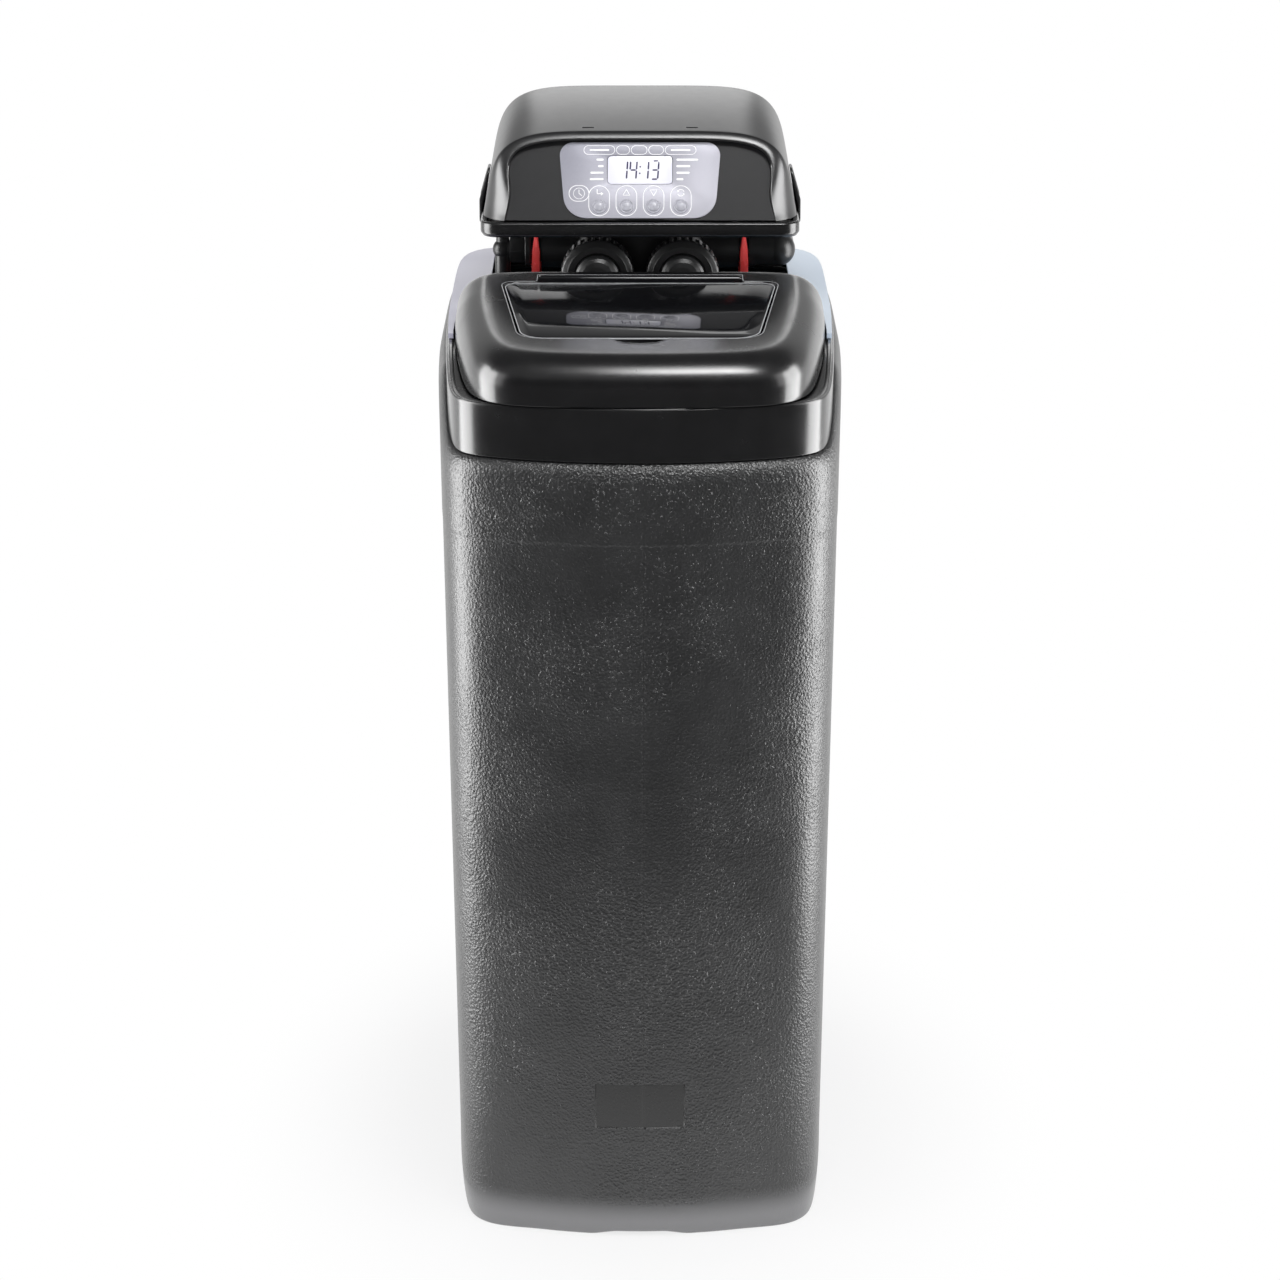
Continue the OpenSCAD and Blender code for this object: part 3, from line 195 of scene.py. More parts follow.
def tubeAlong(path, radius, sides, across=(1, 0, 0)):
    # a circle square to the path at every point: p + r (cos a u + sin a v), with u = heading x across
    heading = unit(np.gradient(path, axis=0))
    u = unit(np.cross(heading, np.array(across, dtype=float)))
    v = np.cross(heading, u)
    angle = np.linspace(0, 2 * np.pi, sides, endpoint=False)[None, :, None]
    return gridSkin(path[:, None] + radius * (np.cos(angle) * u[:, None] + np.sin(angle) * v[:, None]))


def smooth(t):
    t = np.clip(t, 0, 1)
    return t * t * (3 - 2 * t)


def placer(origin, tilt):
    # x across, y up a slope, z out of it
    c, s = np.cos(np.radians(tilt)), np.sin(np.radians(tilt))
    turn = np.array([[1, 0, 0], [0, c, s], [0, -s, c]])
    return lambda points: np.asarray(origin, dtype=float) + np.asarray(points, dtype=float) @ turn


# Materials

def linear(*rgb):
    # a colour read on a screen, 0 to 255, as the shader's own number
    value = np.array(rgb) / 255
    return tuple(np.where(value <= 0.04045, value / 12.92, ((value + 0.055) / 1.055) ** 2.4)) + (1.0,)


def joined(operation, swapped=False):
    # an operator of the class below: one Math node between a wire and a wire or number
    def join(self, other):
        return self.math(operation, *((other, self) if swapped else (self, other)))
    return join


class Wire:
    def __init__(self, tree, socket=None):
        self.tree = tree
        self.socket = socket

    def node(self, kind, settings=None, values=None, out=0):
        made = self.tree.nodes.new(kind)
        for key, value in (settings or {}).items():
            setattr(made, key, value)
        for key, value in (values or {}).items():
            if isinstance(value, Wire):
                self.tree.links.new(value.socket, made.inputs[key])
            else:
                made.inputs[key].default_value = value
        return Wire(self.tree, made.outputs[out])

    def math(self, operation, first, second=0.0):
        return self.node("ShaderNodeMath", {"operation": operation}, {0: first, 1: second})

    __add__, __radd__ = joined("ADD"), joined("ADD", True)
    __sub__, __rsub__ = joined("SUBTRACT"), joined("SUBTRACT", True)
    __mul__, __rmul__ = joined("MULTIPLY"), joined("MULTIPLY", True)
    __truediv__, __pow__ = joined("DIVIDE"), joined("POWER")
    __gt__, __lt__ = joined("GREATER_THAN"), joined("LESS_THAN")

    def size(self):
        return self.math("ABSOLUTE", self)

    def sine(self):
        return self.math("SINE", self)

    def ramp(self, low, high, start=0.0, end=1.0):
        # start below low, end above high, and an eased slope between
        return self.node("ShaderNodeMapRange", {"interpolation_type": "SMOOTHSTEP"},
                         {0: self, 1: low, 2: high, 3: start, 4: end})

    def colours(self, first, second):
        # the first colour where this is 0, the second where it is 1
        return self.node("ShaderNodeMix", {"data_type": "RGBA"}, {0: self, 6: first, 7: second}, out=2)

    def tints(self, colour, dark, light):
        # one colour, so many times as strong where this is 0 and where it is 1
        return self.colours(*(tuple(c * times for c in colour) + (1,) for times in (dark, light)))


def splitUp(wire, vector):
    outputs = wire.node("ShaderNodeSeparateXYZ", {}, {0: vector}).socket.node.outputs
    return [Wire(wire.tree, output) for output in outputs]


def coordinates(wire):
    # object coordinates, and their three numbers in millimetres
    place = wire.node("ShaderNodeTexCoord", out=3)
    return place, [part * 1000.0 for part in splitUp(wire, place)]


def noise(place, perMetre, detail=2.0, roughness=0.5):
    return place.node("ShaderNodeTexNoise", {}, {"Vector": place, "Scale": perMetre, "Detail": detail,
                                                 "Roughness": roughness})


def cells(place, perMetre):
    return place.node("ShaderNodeTexVoronoi", {}, {"Vector": place, "Scale": perMetre})


def finishOf(name, inputs, bump=0.3, depth=0.0005):
    # one shader; a height reaches its normal through a bump whose relief is depth, in metres
    material = bpy.data.materials.new(name)
    material.use_nodes = True
    tree = material.node_tree
    values = inputs(Wire(tree))
    relief = values.pop("height", None)
    if relief is not None:
        values["Normal"] = relief.node("ShaderNodeBump", {},
                                       {"Height": relief, "Strength": bump, "Distance": depth})
    shader = tree.nodes["Principled BSDF"]
    for key, value in values.items():
        if isinstance(value, Wire):
            tree.links.new(value.socket, shader.inputs[key])
        else:
            shader.inputs[key].default_value = value
    return material


def cabinetGrain(wire):
    # pebbled mould grain, stronger in drifting patches, and smooth on the recessed plate and the foot; the
    # foot's colour is painted paler as a reflection of the white floor
    place, (x, y, z) = coordinates(wire)
    warp = noise(place, 260, 2)
    pebble = cells(place, 620)
    fine = noise(place, 900, 3, 0.6)
    patch = noise(place, 9, 3, 0.55).ramp(0.36, 0.66)
    pimple = noise(place, 640, 1).ramp(0.62, 0.75)        # high spots that catch the light, in drifts
    pimple = pimple * (0.4 + 0.6 * patch)
    onPlate = (x.size() < 26.0) * ((z - 82.5).size() < 13.5) * (y < -120.0)
    onFoot = z.ramp(19.0, 21.0, 1.0, 0.0)
    paintedFloorReflection = z.ramp(8.0, 27.0, 1.0, 0.0)               # painted reflection: the smooth foot's colour is paler, standing in for the white floor mirrored in it
    onSide = y.ramp(-165.0, -135.0)
    grain = (pebble * 0.75 + fine * 0.6 + warp * 0.4 + pimple * 0.9) * (0.4 + 0.6 * patch)
    grain = grain * (1 - 0.9 * onPlate) * (1 - 0.85 * onFoot) * (1 - 0.6 * onSide)
    blotch = noise(place, 30, 4, 0.6)
    colour = blotch.ramp(0.3, 0.72).colours((0.0110, 0.0111, 0.0118, 1), (0.0185, 0.0187, 0.0195, 1))
    colour = onPlate.colours(colour, (0.0020, 0.0020, 0.0022, 1))
    # painted reflection of the floor: the foot's base colour turns pale grey
    colour = paintedFloorReflection.colours(colour, (0.17, 0.17, 0.175, 1))
    return {"Base Color": colour, "Roughness": 0.28 + 0.14 * fine - 0.06 * onPlate, "height": grain,
            "Specular IOR Level": 0.95}


def glossFinish(colour, low, high, waveScale=55, coat=0.0):
    # moulded gloss: a faint orange peel, and gloss that drifts a little as handled plastic does
    def build(wire):
        place = coordinates(wire)[0]
        wear = noise(place, waveScale, 5, 0.62)
        return {"Base Color": wear.ramp(0.3, 0.75).tints(colour, 0.85, 1.2),
                "Roughness": wear.ramp(0.3, 0.75, low, high), "height": noise(place, waveScale * 8, 2),
                "Coat Weight": coat, "Coat Roughness": low}
    return build


def sparkFinish(colour, low, high, scale=1400, flow=160, shine=0.5):
    # satin plastic from an eroded mould: fine pits over a slow mottle
    def build(wire):
        place = coordinates(wire)[0]
        mottle = noise(place, flow, 3, 0.55)
        return {"Base Color": mottle.ramp(0.3, 0.72).tints(colour, 0.92, 1.08),
                "Roughness": mottle.ramp(0.25, 0.75, low, high), "height": noise(place, scale, 3, 0.65),
                "Specular IOR Level": shine}
    return build


def labelFilm(wire):
    # silver printed film: paler towards its lower right, with a fine sparkle
    place, (x, y, z) = coordinates(wire)
    fall = (x * 0.006 - (z - 590.0) * 0.012 + 0.5).ramp(0.0, 1.0)
    speck = noise(place, 5200, 2, 0.7)
    base = fall.colours(linear(138, 138, 151), linear(183, 182, 192))
    colour = (speck.ramp(0.35, 0.65) * 0.35).colours(base, linear(198, 198, 206))
    return {"Base Color": colour, "Roughness": speck.ramp(0.3, 0.7, 0.36, 0.5), "Metallic": 0.12,
            "height": speck}


def displayGlass(wire):
    # lit display: pale field, a shade cooler towards its edges, under a clear window
    place, (x, y, z) = coordinates(wire)
    edge = (x / 19.0).size().ramp(0.55, 1.0)
    drift = noise(place, 120, 2)
    colour = (edge * 0.6 + drift * 0.2).colours(linear(228, 228, 236), linear(212, 212, 226))
    return {"Base Color": colour, "Roughness": drift.ramp(0.3, 0.7, 0.1, 0.16), "Emission Color": colour,
            "Emission Strength": 0.16, "Coat Weight": 0.2}


def deckFinish(wire):
    # pale lavender plastic, bluer towards the right
    place, (x, y, z) = coordinates(wire)
    drift = noise(place, 14, 3, 0.5)
    fall = (x * 0.006 + drift * 0.3 + 0.25).ramp(0.0, 1.0)
    return {"Base Color": fall.colours(linear(175, 174, 191), linear(192, 207, 224)),
            "Roughness": drift.ramp(0.3, 0.7, 0.3, 0.38), "height": drift}


def beadBed(wire):
    # amber beads, each a little lighter or darker
    place = coordinates(wire)[0]
    tone = noise(place, 700, 2)
    colour = tone.ramp(0.35, 0.65).colours((0.30, 0.15, 0.045, 1), (0.52, 0.30, 0.10, 1))
    return {"Base Color": colour, "Roughness": 0.3 + 0.2 * tone, "height": 1 - cells(place, 1500)}


def woundTank(wire):
    # glass-fibre winding: two crossing sets of bands round the tank
    place, (x, y, z) = coordinates(wire)
    turn = (y - 85.0).math("ARCTAN2", y - 85.0, x) * 100.0
    rise = ((z + turn * 0.25) * 0.9).sine()
    fall = ((z - turn * 0.25) * 0.9).sine()
    fibre = noise(place, 300, 4, 0.6)
    weave = rise * 0.5 + fall * 0.5
    tone = (weave * 0.4 + fibre * 0.6).ramp(0.0, 0.8)
    return {"Base Color": tone.colours(linear(88, 120, 142), linear(118, 150, 170)),
            "Roughness": fibre.ramp(0.3, 0.7, 0.3, 0.46), "height": weave + fibre}


def boardFinish(wire):
    # green lacquer over straight copper tracks
    place, (x, y, z) = coordinates(wire)
    run = noise(place, 70, 1)
    track = ((x * 1.6).sine() > 0.55) * (run > 0.48)
    return {"Base Color": track.colours(linear(16, 74, 44), linear(46, 112, 70)),
            "Roughness": 0.32 + 0.1 * run, "height": track}


def turnedMetal(colour, low, high):
    # fine lathe lines along the pipe's own axis
    def build(wire):
        place, (x, y, z) = coordinates(wire)
        stain = noise(place, 90, 4, 0.6)
        return {"Base Color": stain.ramp(0.3, 0.75).tints(colour, 1, 0.72), "Metallic": 1.0,
                "Roughness": stain.ramp(0.3, 0.75, low, high), "height": (y * 5.0).sine()}
    return build


finishes = {
    "cabinet": finishOf("cabinetGrain", cabinetGrain, 0.85, 0.0008),
    "gloss_black": finishOf("lidGloss", glossFinish((0.0052, 0.0052, 0.0057), 0.22, 0.28, coat=0.6), 0.03),
    "black_cover": finishOf("coverSatin", sparkFinish((0.0105, 0.0105, 0.0115), 0.28, 0.30, shine=0.9),
                            0.03, 0.0001),
    "face": finishOf("faceSatin", sparkFinish((0.0090, 0.0090, 0.0101), 0.38, 0.44, 1100, shine=0.33),
                     0.08, 0.0002),
    "black_plastic": finishOf("valveBlack", sparkFinish((0.0100, 0.0100, 0.0105), 0.28, 0.40, 900),
                              0.12, 0.0003),
    "deck": finishOf("deckPlastic", deckFinish, 0.02),
    "smoked": finishOf("smokedFlap", glossFinish((0.0060, 0.0062, 0.0072), 0.035, 0.075, 30), 0.008),
    "tank": finishOf("woundTank", woundTank, 0.25),
    "resin": finishOf("beadBed", beadBed, 0.6),
    "white_plastic": finishOf("mouldedWhite", sparkFinish((0.60, 0.60, 0.57), 0.34, 0.48, 700), 0.08),
    "grey_plastic": finishOf("mouldedGrey", sparkFinish((0.30, 0.31, 0.33), 0.34, 0.48, 700), 0.08),
    "red_plastic": finishOf("clipRed", glossFinish((0.88, 0.065, 0.065), 0.22, 0.34), 0.04),
    "label": finishOf("labelFilm", labelFilm, 0.03, 0.0001),
    "display": finishOf("displayGlass", displayGlass),
    "button": finishOf("buttonSilver", sparkFinish((0.42, 0.42, 0.47), 0.24, 0.34, 1600, 400), 0.03),
    "board": finishOf("boardLacquer", boardFinish, 0.2, 0.0001),
    "hose": finishOf("hoseBlue", glossFinish((0.012, 0.024, 0.040), 0.24, 0.36, 80), 0.05),
    "rubber": finishOf("grommetRubber", sparkFinish((0.014, 0.014, 0.014), 0.6, 0.75, 600), 0.15),
    "steel": finishOf("gearSteel", turnedMetal((0.52, 0.52, 0.53), 0.26, 0.4), 0.05, 0.0001),
    "brass": finishOf("tailBrass", turnedMetal((0.62, 0.45, 0.20), 0.24, 0.4), 0.08, 0.0002),
    "ink": finishOf("inkWhite", sparkFinish((0.92, 0.92, 0.93), 0.4, 0.5, 3000), 0.02),
    # a pale grey for narrow bands along polished edges: a painted highlight
    "edge": finishOf("paintedEdgeHighlight", sparkFinish((0.50, 0.51, 0.53), 0.2, 0.3, 2000), 0.02),
    "digit": finishOf("digitInk", sparkFinish((0.030, 0.020, 0.085), 0.25, 0.35, 3000), 0.02),
}
print("finishes made:", len(finishes))

for row in frame["record"]["subparts"]:
    data = nodes[row["node"]].data
    data.materials.clear()
    data.materials.append(finishes[row["material_slot"]])


# Cabinet

cabinetForm = {"half": 120, "mid": 15, "front": -205, "rear": 205, "square": 14, "rearSquare": 8,
               "taper": 0.072, "bow": 0.115, "rim": 467, "rise": 33, "climbFrom": -170, "climbTo": -80,
               "draft": 8, "baseRound": 28, "wall": 4, "columns": 460, "frontTo": -120, "plateHalf": 26,
               "plateLow": 69, "plateHigh": 96, "plateDeep": 1.1, "seam": 2.0, "seamDeep": 0.22,
               "baseLine": 20, "mouldLine": 421, "lineStep": 0.25, "footNotch": 14, "notchFade": 18,
               "notchHigh": 2, "footHigh": 26, "footIn": 5, "cornerFull": 3, "rimIn": 6, "rimRound": 14}


def planRing(a, form, inset, share=1.0):
    # two half superellipses that meet on the line y = mid, taken by direction; ahead of it the sides draw in
    # by a share of the width and the corners stand back by a share of the depth
    c, s = np.abs(np.cos(a)), np.abs(np.sin(a))
    ahead = np.sin(a) < 0
    power = np.where(ahead, form["square"], form["rearSquare"])
    reach = (c ** power + s ** power) ** (-1 / power)
    drawn = ahead * form["taper"] * (reach * s) ** 1.5
    back = ahead * form["bow"] * (reach * c) ** 2
    end = np.where(ahead, form["front"] + inset, form["rear"] - inset * share)
    x = (form["half"] - inset) * np.sign(np.cos(a)) * reach * c * (1 - drawn)
    return x, form["mid"] + (end - form["mid"]) * reach * s * (1 - back)


def cabinetPlan(a, inset):
    return planRing(a, cabinetForm, inset)


def climbing(low, high, y):
    # a height that goes from low to high where the rim climbs
    k = cabinetForm
    return low + (high - low) * smooth((y - k["climbFrom"]) / (k["climbTo"] - k["climbFrom"]))


def rimAt(y):
    return climbing(cabinetForm["rim"], cabinetForm["rim"] + cabinetForm["rise"], y)


def evenAngles(inset, count):
    # angles whose points lie an even distance apart on the cabinet's outline
    a = np.linspace(0, 2 * np.pi, 12001)
    way = wayAlong(together(*cabinetPlan(a, inset)))
    return np.interp(np.linspace(0, way[-1], count, endpoint=False), way, a)


def frontAngle(x, inset):
    # the direction in which the bowed front has this x
    a = np.linspace(1.1 * np.pi, 1.9 * np.pi, 4001)
    return np.interp(x, cabinetPlan(a, inset)[0], a)


plateEdge = np.array([-0.3, 0.3])                         # rows and columns close to an edge keep it crisp
seamEdge = np.array([-0.7, -0.35, 0.35, 0.7])
lineEdge = np.array([-1.4, -0.3, 0.3, 1.4])
plateX = np.concatenate([side * cabinetForm["plateHalf"] + plateEdge for side in (-1, 1)])
cabinetAngles = np.unique(np.concatenate([evenAngles(cabinetForm["wall"], cabinetForm["columns"]),
                                          frontAngle(cabinetForm["seam"] + seamEdge, 3),
                                          frontAngle(plateX, 6.6)]))


def cabinetRow(inset, z):
    return together(*cabinetPlan(cabinetAngles, inset), z)


def draftAt(z):
    return cabinetForm["draft"] * (1 - z / cabinetForm["rim"])


def cabinetSkin():
    # rows climb the outside from the foot, turn over the rim and go down the inside to the floor
    k = cabinetForm
    r, wall, high = k["baseRound"], k["wall"], k["footHigh"]
    plainX, plainY = cabinetPlan(cabinetAngles, wall)
    front = plainY < k["frontTo"]
    rim = rimAt(plainY)
    top = rim - k["rimRound"]
    notch = k["notchHigh"] * front * (1 - smooth((np.abs(plainX) - k["footNotch"]) / k["notchFade"]))
    seam = front * (1 - smooth((np.abs(plainX - k["seam"]) - 0.25) / 0.4))
    foot = k["footIn"] + k["draft"]
    corner = smooth((np.abs(plainX) - 60) / 35) * smooth((-90 - plainY) / 80)
    drawnIn = k["footIn"] - k["cornerFull"] * corner
    rows = [cabinetRow(foot + 13, 2.4), cabinetRow(foot + 8, 2.4), cabinetRow(foot + 6.5, 0.4 + notch),
            cabinetRow(foot + 5, notch)]
    for z in [0, 0.3, 1, 2.2, 3.9, 6.1, 8.8, 12, 15.5, *(k["baseLine"] + lineEdge), 23.6, high]:
        t = np.arccos(1 - z / high)                       # a quarter of an ellipse, upright
        step = k["lineStep"] * (z > k["baseLine"])        # the mould's parting line above the foot
        inset = drawnIn * (1 - np.sin(t)) + draftAt(z) + step
        rows.append(cabinetRow(inset, z + notch * np.clip(1 - z / 5, 0, 1)))

    def wallIn(z):
        return draftAt(r) * (1 - (z - r) / (top - r))

    plate = front * (np.abs(plainX * 113.4 / 116) < k["plateHalf"])       # the wall is narrower down there
    levels = [34, 45, 57, *(k["plateLow"] + plateEdge), *(k["plateHigh"] + plateEdge), 110, 140, 175, 210,
              245, 280, 315, 350, 380, 402, *(k["mouldLine"] + lineEdge)]
    for z in levels:
        sunk = plate * (k["plateLow"] < z < k["plateHigh"]) * k["plateDeep"]
        step = k["lineStep"] * (z < k["mouldLine"])
        rows.append(cabinetRow(wallIn(z) + sunk + step + k["seamDeep"] * seam, z))
    for part in (0.35, 0.7, 1.0):
        z = levels[-1] + (top - levels[-1]) * part
        rows.append(cabinetRow(wallIn(z) + 0.15 * seam, z))
    for t in np.radians([15, 30, 45, 60, 75, 90]):
        rows.append(cabinetRow(k["rimIn"] * (1 - np.cos(t)), rim - k["rimRound"] * (1 - np.sin(t))))
    rows += [cabinetRow(inset, rim - drop) for inset, drop in ((8.9, 0), (9.5, 0.6), (9.5, 8), (4.5, 24))]
    rows += [cabinetRow(wall + draftAt(z), z) for z in (400, 300, 200, 100)]
    for t in np.radians(np.linspace(90, 0, 7)):
        z = wall + (r - wall) * (1 - np.cos(t))
        rows.append(cabinetRow(wall + (r - wall) * (1 - np.sin(t)) + draftAt(z), z))
    return gridSkin(np.stack(rows))


makePiece("cabinet_body", [cabinetSkin()], "cabinet", "cabinet", ["cabinet_shell"], 40)


# Lid frame: band, cheeks, ledge and the plug in the cabinet's neck

frameForm = {"seat": 498, "cheekTop": 510, "lidSink": 5.9, "bandDrop": 5, "band": 4.5, "cheek": 5.9,
             "cheekIn": 8.6, "ledge": 17, "ledgeThick": 3, "plug": 10.1, "plugIn": 12.5, "plugDeep": 12}


def ledgeAt(y):
    return climbing(frameForm["seat"], frameForm["cheekTop"] - frameForm["lidSink"], y)


def frameSkin():
    # a closed profile of (inset, height, rounding) carried round the plan, its heights climbing with the rim
    k = frameForm
    y = cabinetPlan(cabinetAngles, 8)[1]
    rim, ledge = rimAt(y), ledgeAt(y)
    band = climbing(k["seat"] - 0.1, k["cheekTop"] - k["bandDrop"], y)
    cheek = climbing(k["seat"] + 0.3, k["cheekTop"], y)
    under, plugLow = ledge - k["ledgeThick"], rim - k["plugDeep"]
    chain = [(k["band"], rim + 0.4, 0.8), (k["band"], band, 1.6), (k["cheek"], band, 0.3),
             (k["cheek"], cheek, 0.9), (k["cheekIn"], cheek, 0.9), (k["cheekIn"], ledge, 0.3),
             (k["ledge"], ledge, 0.8), (k["ledge"], under, 0.6), (k["plugIn"], under, 0),
             (k["plugIn"], plugLow, 0.5), (k["plug"], plugLow, 0.5), (k["plug"], rim + 0.4, 0)]
    rings = np.stack([cabinetRow(inset, z) for inset, z, radius in chain])
    return gridSkin(softened(rings, [radius for inset, z, radius in chain], 4, loop=True), loop=True)


makePiece("frame_band", [frameSkin()], "cabinet", "gloss_black", ["lid_frame"])
print("cabinet and frame made")


# Salt lid and its flap

lidForm = {"half": 107.8, "mid": -60, "front": -199, "rear": -15, "square": 8, "rearSquare": 10,
           "taper": 0.14, "bow": 0.06, "round": 18, "wall": 3, "backShare": 0.15, "high": 526, "crest": -185,
           "slope": 4.66055, "hingeY": -27, "hingeZ": 538.88, "centre": -84, "columns": 420,
           "scoopAt": -113, "scoopRound": 56, "scoopDeep": 4.5, "recessDeep": 4.7}
flapForm = {"back": -12, "long": 113, "frontHalf": 67, "backHalf": 80.5, "corners": [16, 16, 9, 9],
            "thick": 3, "sunk": 0.5, "room": 0.7, "barrelHalf": 59, "barrel": 2.5, "axisDown": 2, "pin": 1.4,
            "pinLong": 4}
onLid = placer((0, lidForm["hingeY"], lidForm["hingeZ"]), lidForm["slope"])


def flapOutline(by):
    k = flapForm
    low, high = k["back"] - k["long"] - by, k["back"] + by
    front, back = k["frontHalf"] + by, k["backHalf"] + by
    return [[-front, low], [front, low], [back, high], [-back, high]]


def recessOutline(by):
    # the flap's outline with room round it, and a wider notch at the back for the barrel
    k = flapForm
    quad = flapOutline(k["room"] + by)
    high, notch, deep = quad[2][1], k["barrelHalf"] + k["room"] + by, 2.6 + by
    corners = quad[:3] + [[notch, high], [notch, deep], [-notch, deep], [-notch, high]] + quad[3:]
    return roundedOutline(corners, [16, 16, 8.5, 0.8, 0.8, 0.8, 0.8, 8.5], 6)


def lidTop(y):
    return lidForm["high"] + (y - lidForm["crest"]) * np.tan(np.radians(lidForm["slope"]))


def polarRadius(outline, theta, middle):
    # distance to an outline in each direction, from a centre on x = 0
    dx, dy = outline[:, 0], outline[:, 1] - middle
    angle = np.arctan2(dy, dx)
    order = np.argsort(angle)
    return np.interp(theta, angle[order], np.hypot(dx, dy)[order], period=2 * np.pi)


def lidSkin():
    # rings cast from one centre: up the skirt, over the rounded edge, across the top and down into the recess
    k = lidForm
    r = k["round"]
    a = np.linspace(0, 2 * np.pi, 6001)[:-1]
    flat = np.cos(np.radians(k["slope"]))

    def rim(inset, share=1.0):
        return together(*planRing(a, k, inset, share))

    def recess(by, fine=True):
        points = evenRing(recessOutline(by), 2400) if fine else recessOutline(by)
        return together(points[:, 0], k["hingeY"] + points[:, 1] * flat)

    spread = evenRing(rim(6), k["columns"])
    theta = [np.arctan2(p[:, 1] - k["centre"], p[:, 0]) for p in (spread, recess(0, False))]
    theta = np.unique(np.round(np.concatenate(theta), 6))

    def far(outline):
        return polarRadius(outline, theta, k["centre"])

    def ring(radius, height):
        x, y = radius * np.cos(theta), k["centre"] + radius * np.sin(theta)
        return together(x, y, height(x, y))

    def scooped(x, y):
        local = (y - k["hingeY"]) / flat - k["scoopAt"]
        bowl = np.sqrt(np.maximum(k["scoopRound"] ** 2 - x ** 2 - local ** 2, 0))
        return np.maximum(bowl - k["scoopRound"] + k["scoopDeep"], 0)

    def seat(by):
        return lambda x, y: ledgeAt(y) + 0.7 + by

    def skirt(share):
        return lambda x, y: seat(0)(x, y) * (1 - share) + (lidTop(y) - r) * share

    def below(drop):
        return lambda x, y: lidTop(y) - drop

    def top(drop):
        return lambda x, y: lidTop(y) - scooped(x, y) - drop

    rows = [ring(far(rim(inset)), height) for inset, height in
            ((r + 1, below(8)), (7, below(13)), (k["wall"], below(r)), (k["wall"], seat(0)), (0.6, seat(0)),
             (0.1, seat(0.5)), (0, skirt(0.33)), (0, skirt(0.66)))]
    for t in np.radians(np.linspace(0, 90, 13)):
        rows.append(ring(far(rim(r * (1 - np.cos(t)), k["backShare"])), below(r * (1 - np.sin(t)))))
    outer, inner = far(rim(r, k["backShare"])), far(recess(1.0))
    for share in (0.3, 0.55, 0.75, 0.86, 0.93, 0.97, 1.0):
        rows.append(ring(outer + (inner - outer) * share, top(0)))
    rows += [ring(far(recess(by)), height) for by, height in
             ((0.5, top(0.13)), (0.13, top(0.5)), (0, top(1.0)), (0, below(k["recessDeep"])))]
    return gridSkin(np.stack(rows))


flapLine = roundedOutline(flapOutline(0), flapForm["corners"], 12)


def flapSkins():
    # a plate with a bevelled edge, a link along its back and a barrel with two pins
    k = flapForm
    under, over = -k["thick"] - k["sunk"], -k["sunk"]
    rows = [(0.5, under), (0, under + 0.5), (0, over - 1.0), (0.16, over - 0.55), (0.5, over - 0.2),
            (1.1, over)]
    link = boxOutline(k["barrelHalf"] - 0.3, k["back"] - 1.5, -0.6, 0.3, 2)
    end, pin = k["barrelHalf"], k["barrelHalf"] + k["pinLong"]
    half = [(k["barrel"], end - 0.4), (k["barrel"] - 0.4, end), (k["pin"], end), (k["pin"], pin - 0.5),
            (0.9, pin)]
    barrel = [(radius, -x) for radius, x in half[::-1]] + half
    return [slabSkin(flapLine, rows, onLid), slabSkin(link, [(0, under + 0.3), (0, over - 0.1)], onLid),
            turned(barrel, onLid([0, 0, -k["axisDown"]]), "x", 40)]


def paintedHighlightBand(outline, over):
    # a narrow closed band just inside an outline, pale in colour: a painted highlight where a polished edge
    # would gather light
    rows = [(0.5, over - 0.6), (0.32, over - 0.02), (0.85, over + 0.03), (0.9, over - 0.6)]
    return gridSkin(onLid(slabRows(evenRing(outline, 480), rows)), loop=True)


makePiece("lid_shell", [lidSkin()], "lid", "gloss_black", ["salt_lid"], 40)
makePiece("flap_plate", flapSkins(), "flap", "smoked", ["window_flap"], 25)
# pale bands along the flap's edge and the recess's edge: painted highlights
makePiece("flap_painted_highlight", [paintedHighlightBand(flapLine, -flapForm["sunk"])], "flap", "smoked", finish=finishes["edge"])
makePiece("recess_painted_highlight", [paintedHighlightBand(recessOutline(1.5), 0.0)], "lid", "gloss_black", finish=finishes["edge"])
print("lid and flap made")


# Tray and hood of the valve

trayForm = {"half": 95, "front": -3, "back": 143, "low": 557, "high": 566, "corner": 11, "floor": 560,
            "holeHalf": 27, "holeFront": 56, "holeBack": 134, "points": 240}
hoodForm = {"front": -1, "back": 138, "foot": 566.2, "half": 94, "lean": 0.1, "arch": 5.5, "frontHigh": 50,
            "rise": 10, "tilt": 25, "wall": 2.6, "lipRound": 3.5, "sideRound": 28, "sideShort": 32,
            "slotX": 31, "slotHalf": 3.5, "slotY": 30.3, "slotLong": 1.6, "slotDeep": 1.8}
faceForm = {"y": 3.5, "centre": 22, "thick": 3, "openHalf": 40, "openLow": 3.6, "openHigh": 46}
onFace = placer((0, faceForm["y"], hoodForm["foot"]), 90 - hoodForm["tilt"])


def traySkin():
    # a closed profile round the tray: skirt, groove, lip, inner wall, floor and the hole for the valve
    k = trayForm
    low, high = k["low"], k["high"]
    outline = evenRing(boxOutline(k["half"], k["front"], k["back"], k["corner"], 12), k["points"])
    hole = evenRing(boxOutline(k["holeHalf"], k["holeFront"], k["holeBack"], 4, 6), k["points"])
    profile = [(2.6, low), (1.6, low + 0.3), (0.4, low + 1.9), (0.1, low + 2.4), (0, low + 3.0),
               (0, high - 1.1), (0.3, high - 0.4), (1.1, high), (3.4, high), (4.0, high - 0.6),
               (4.0, k["floor"])]
    around = np.stack([together(*hole.T, z) for z in (k["floor"], low)])
    return gridSkin(np.concatenate([slabRows(outline, profile), around]), loop=True)


def archAt(a):
    # |cos| and |sin| to a power: the share of the width and of the height at each angle of the arch
    power = 2 / hoodForm["arch"]
    return np.sign(np.cos(a)) * np.abs(np.cos(a)) ** power, np.abs(np.sin(a)) ** power


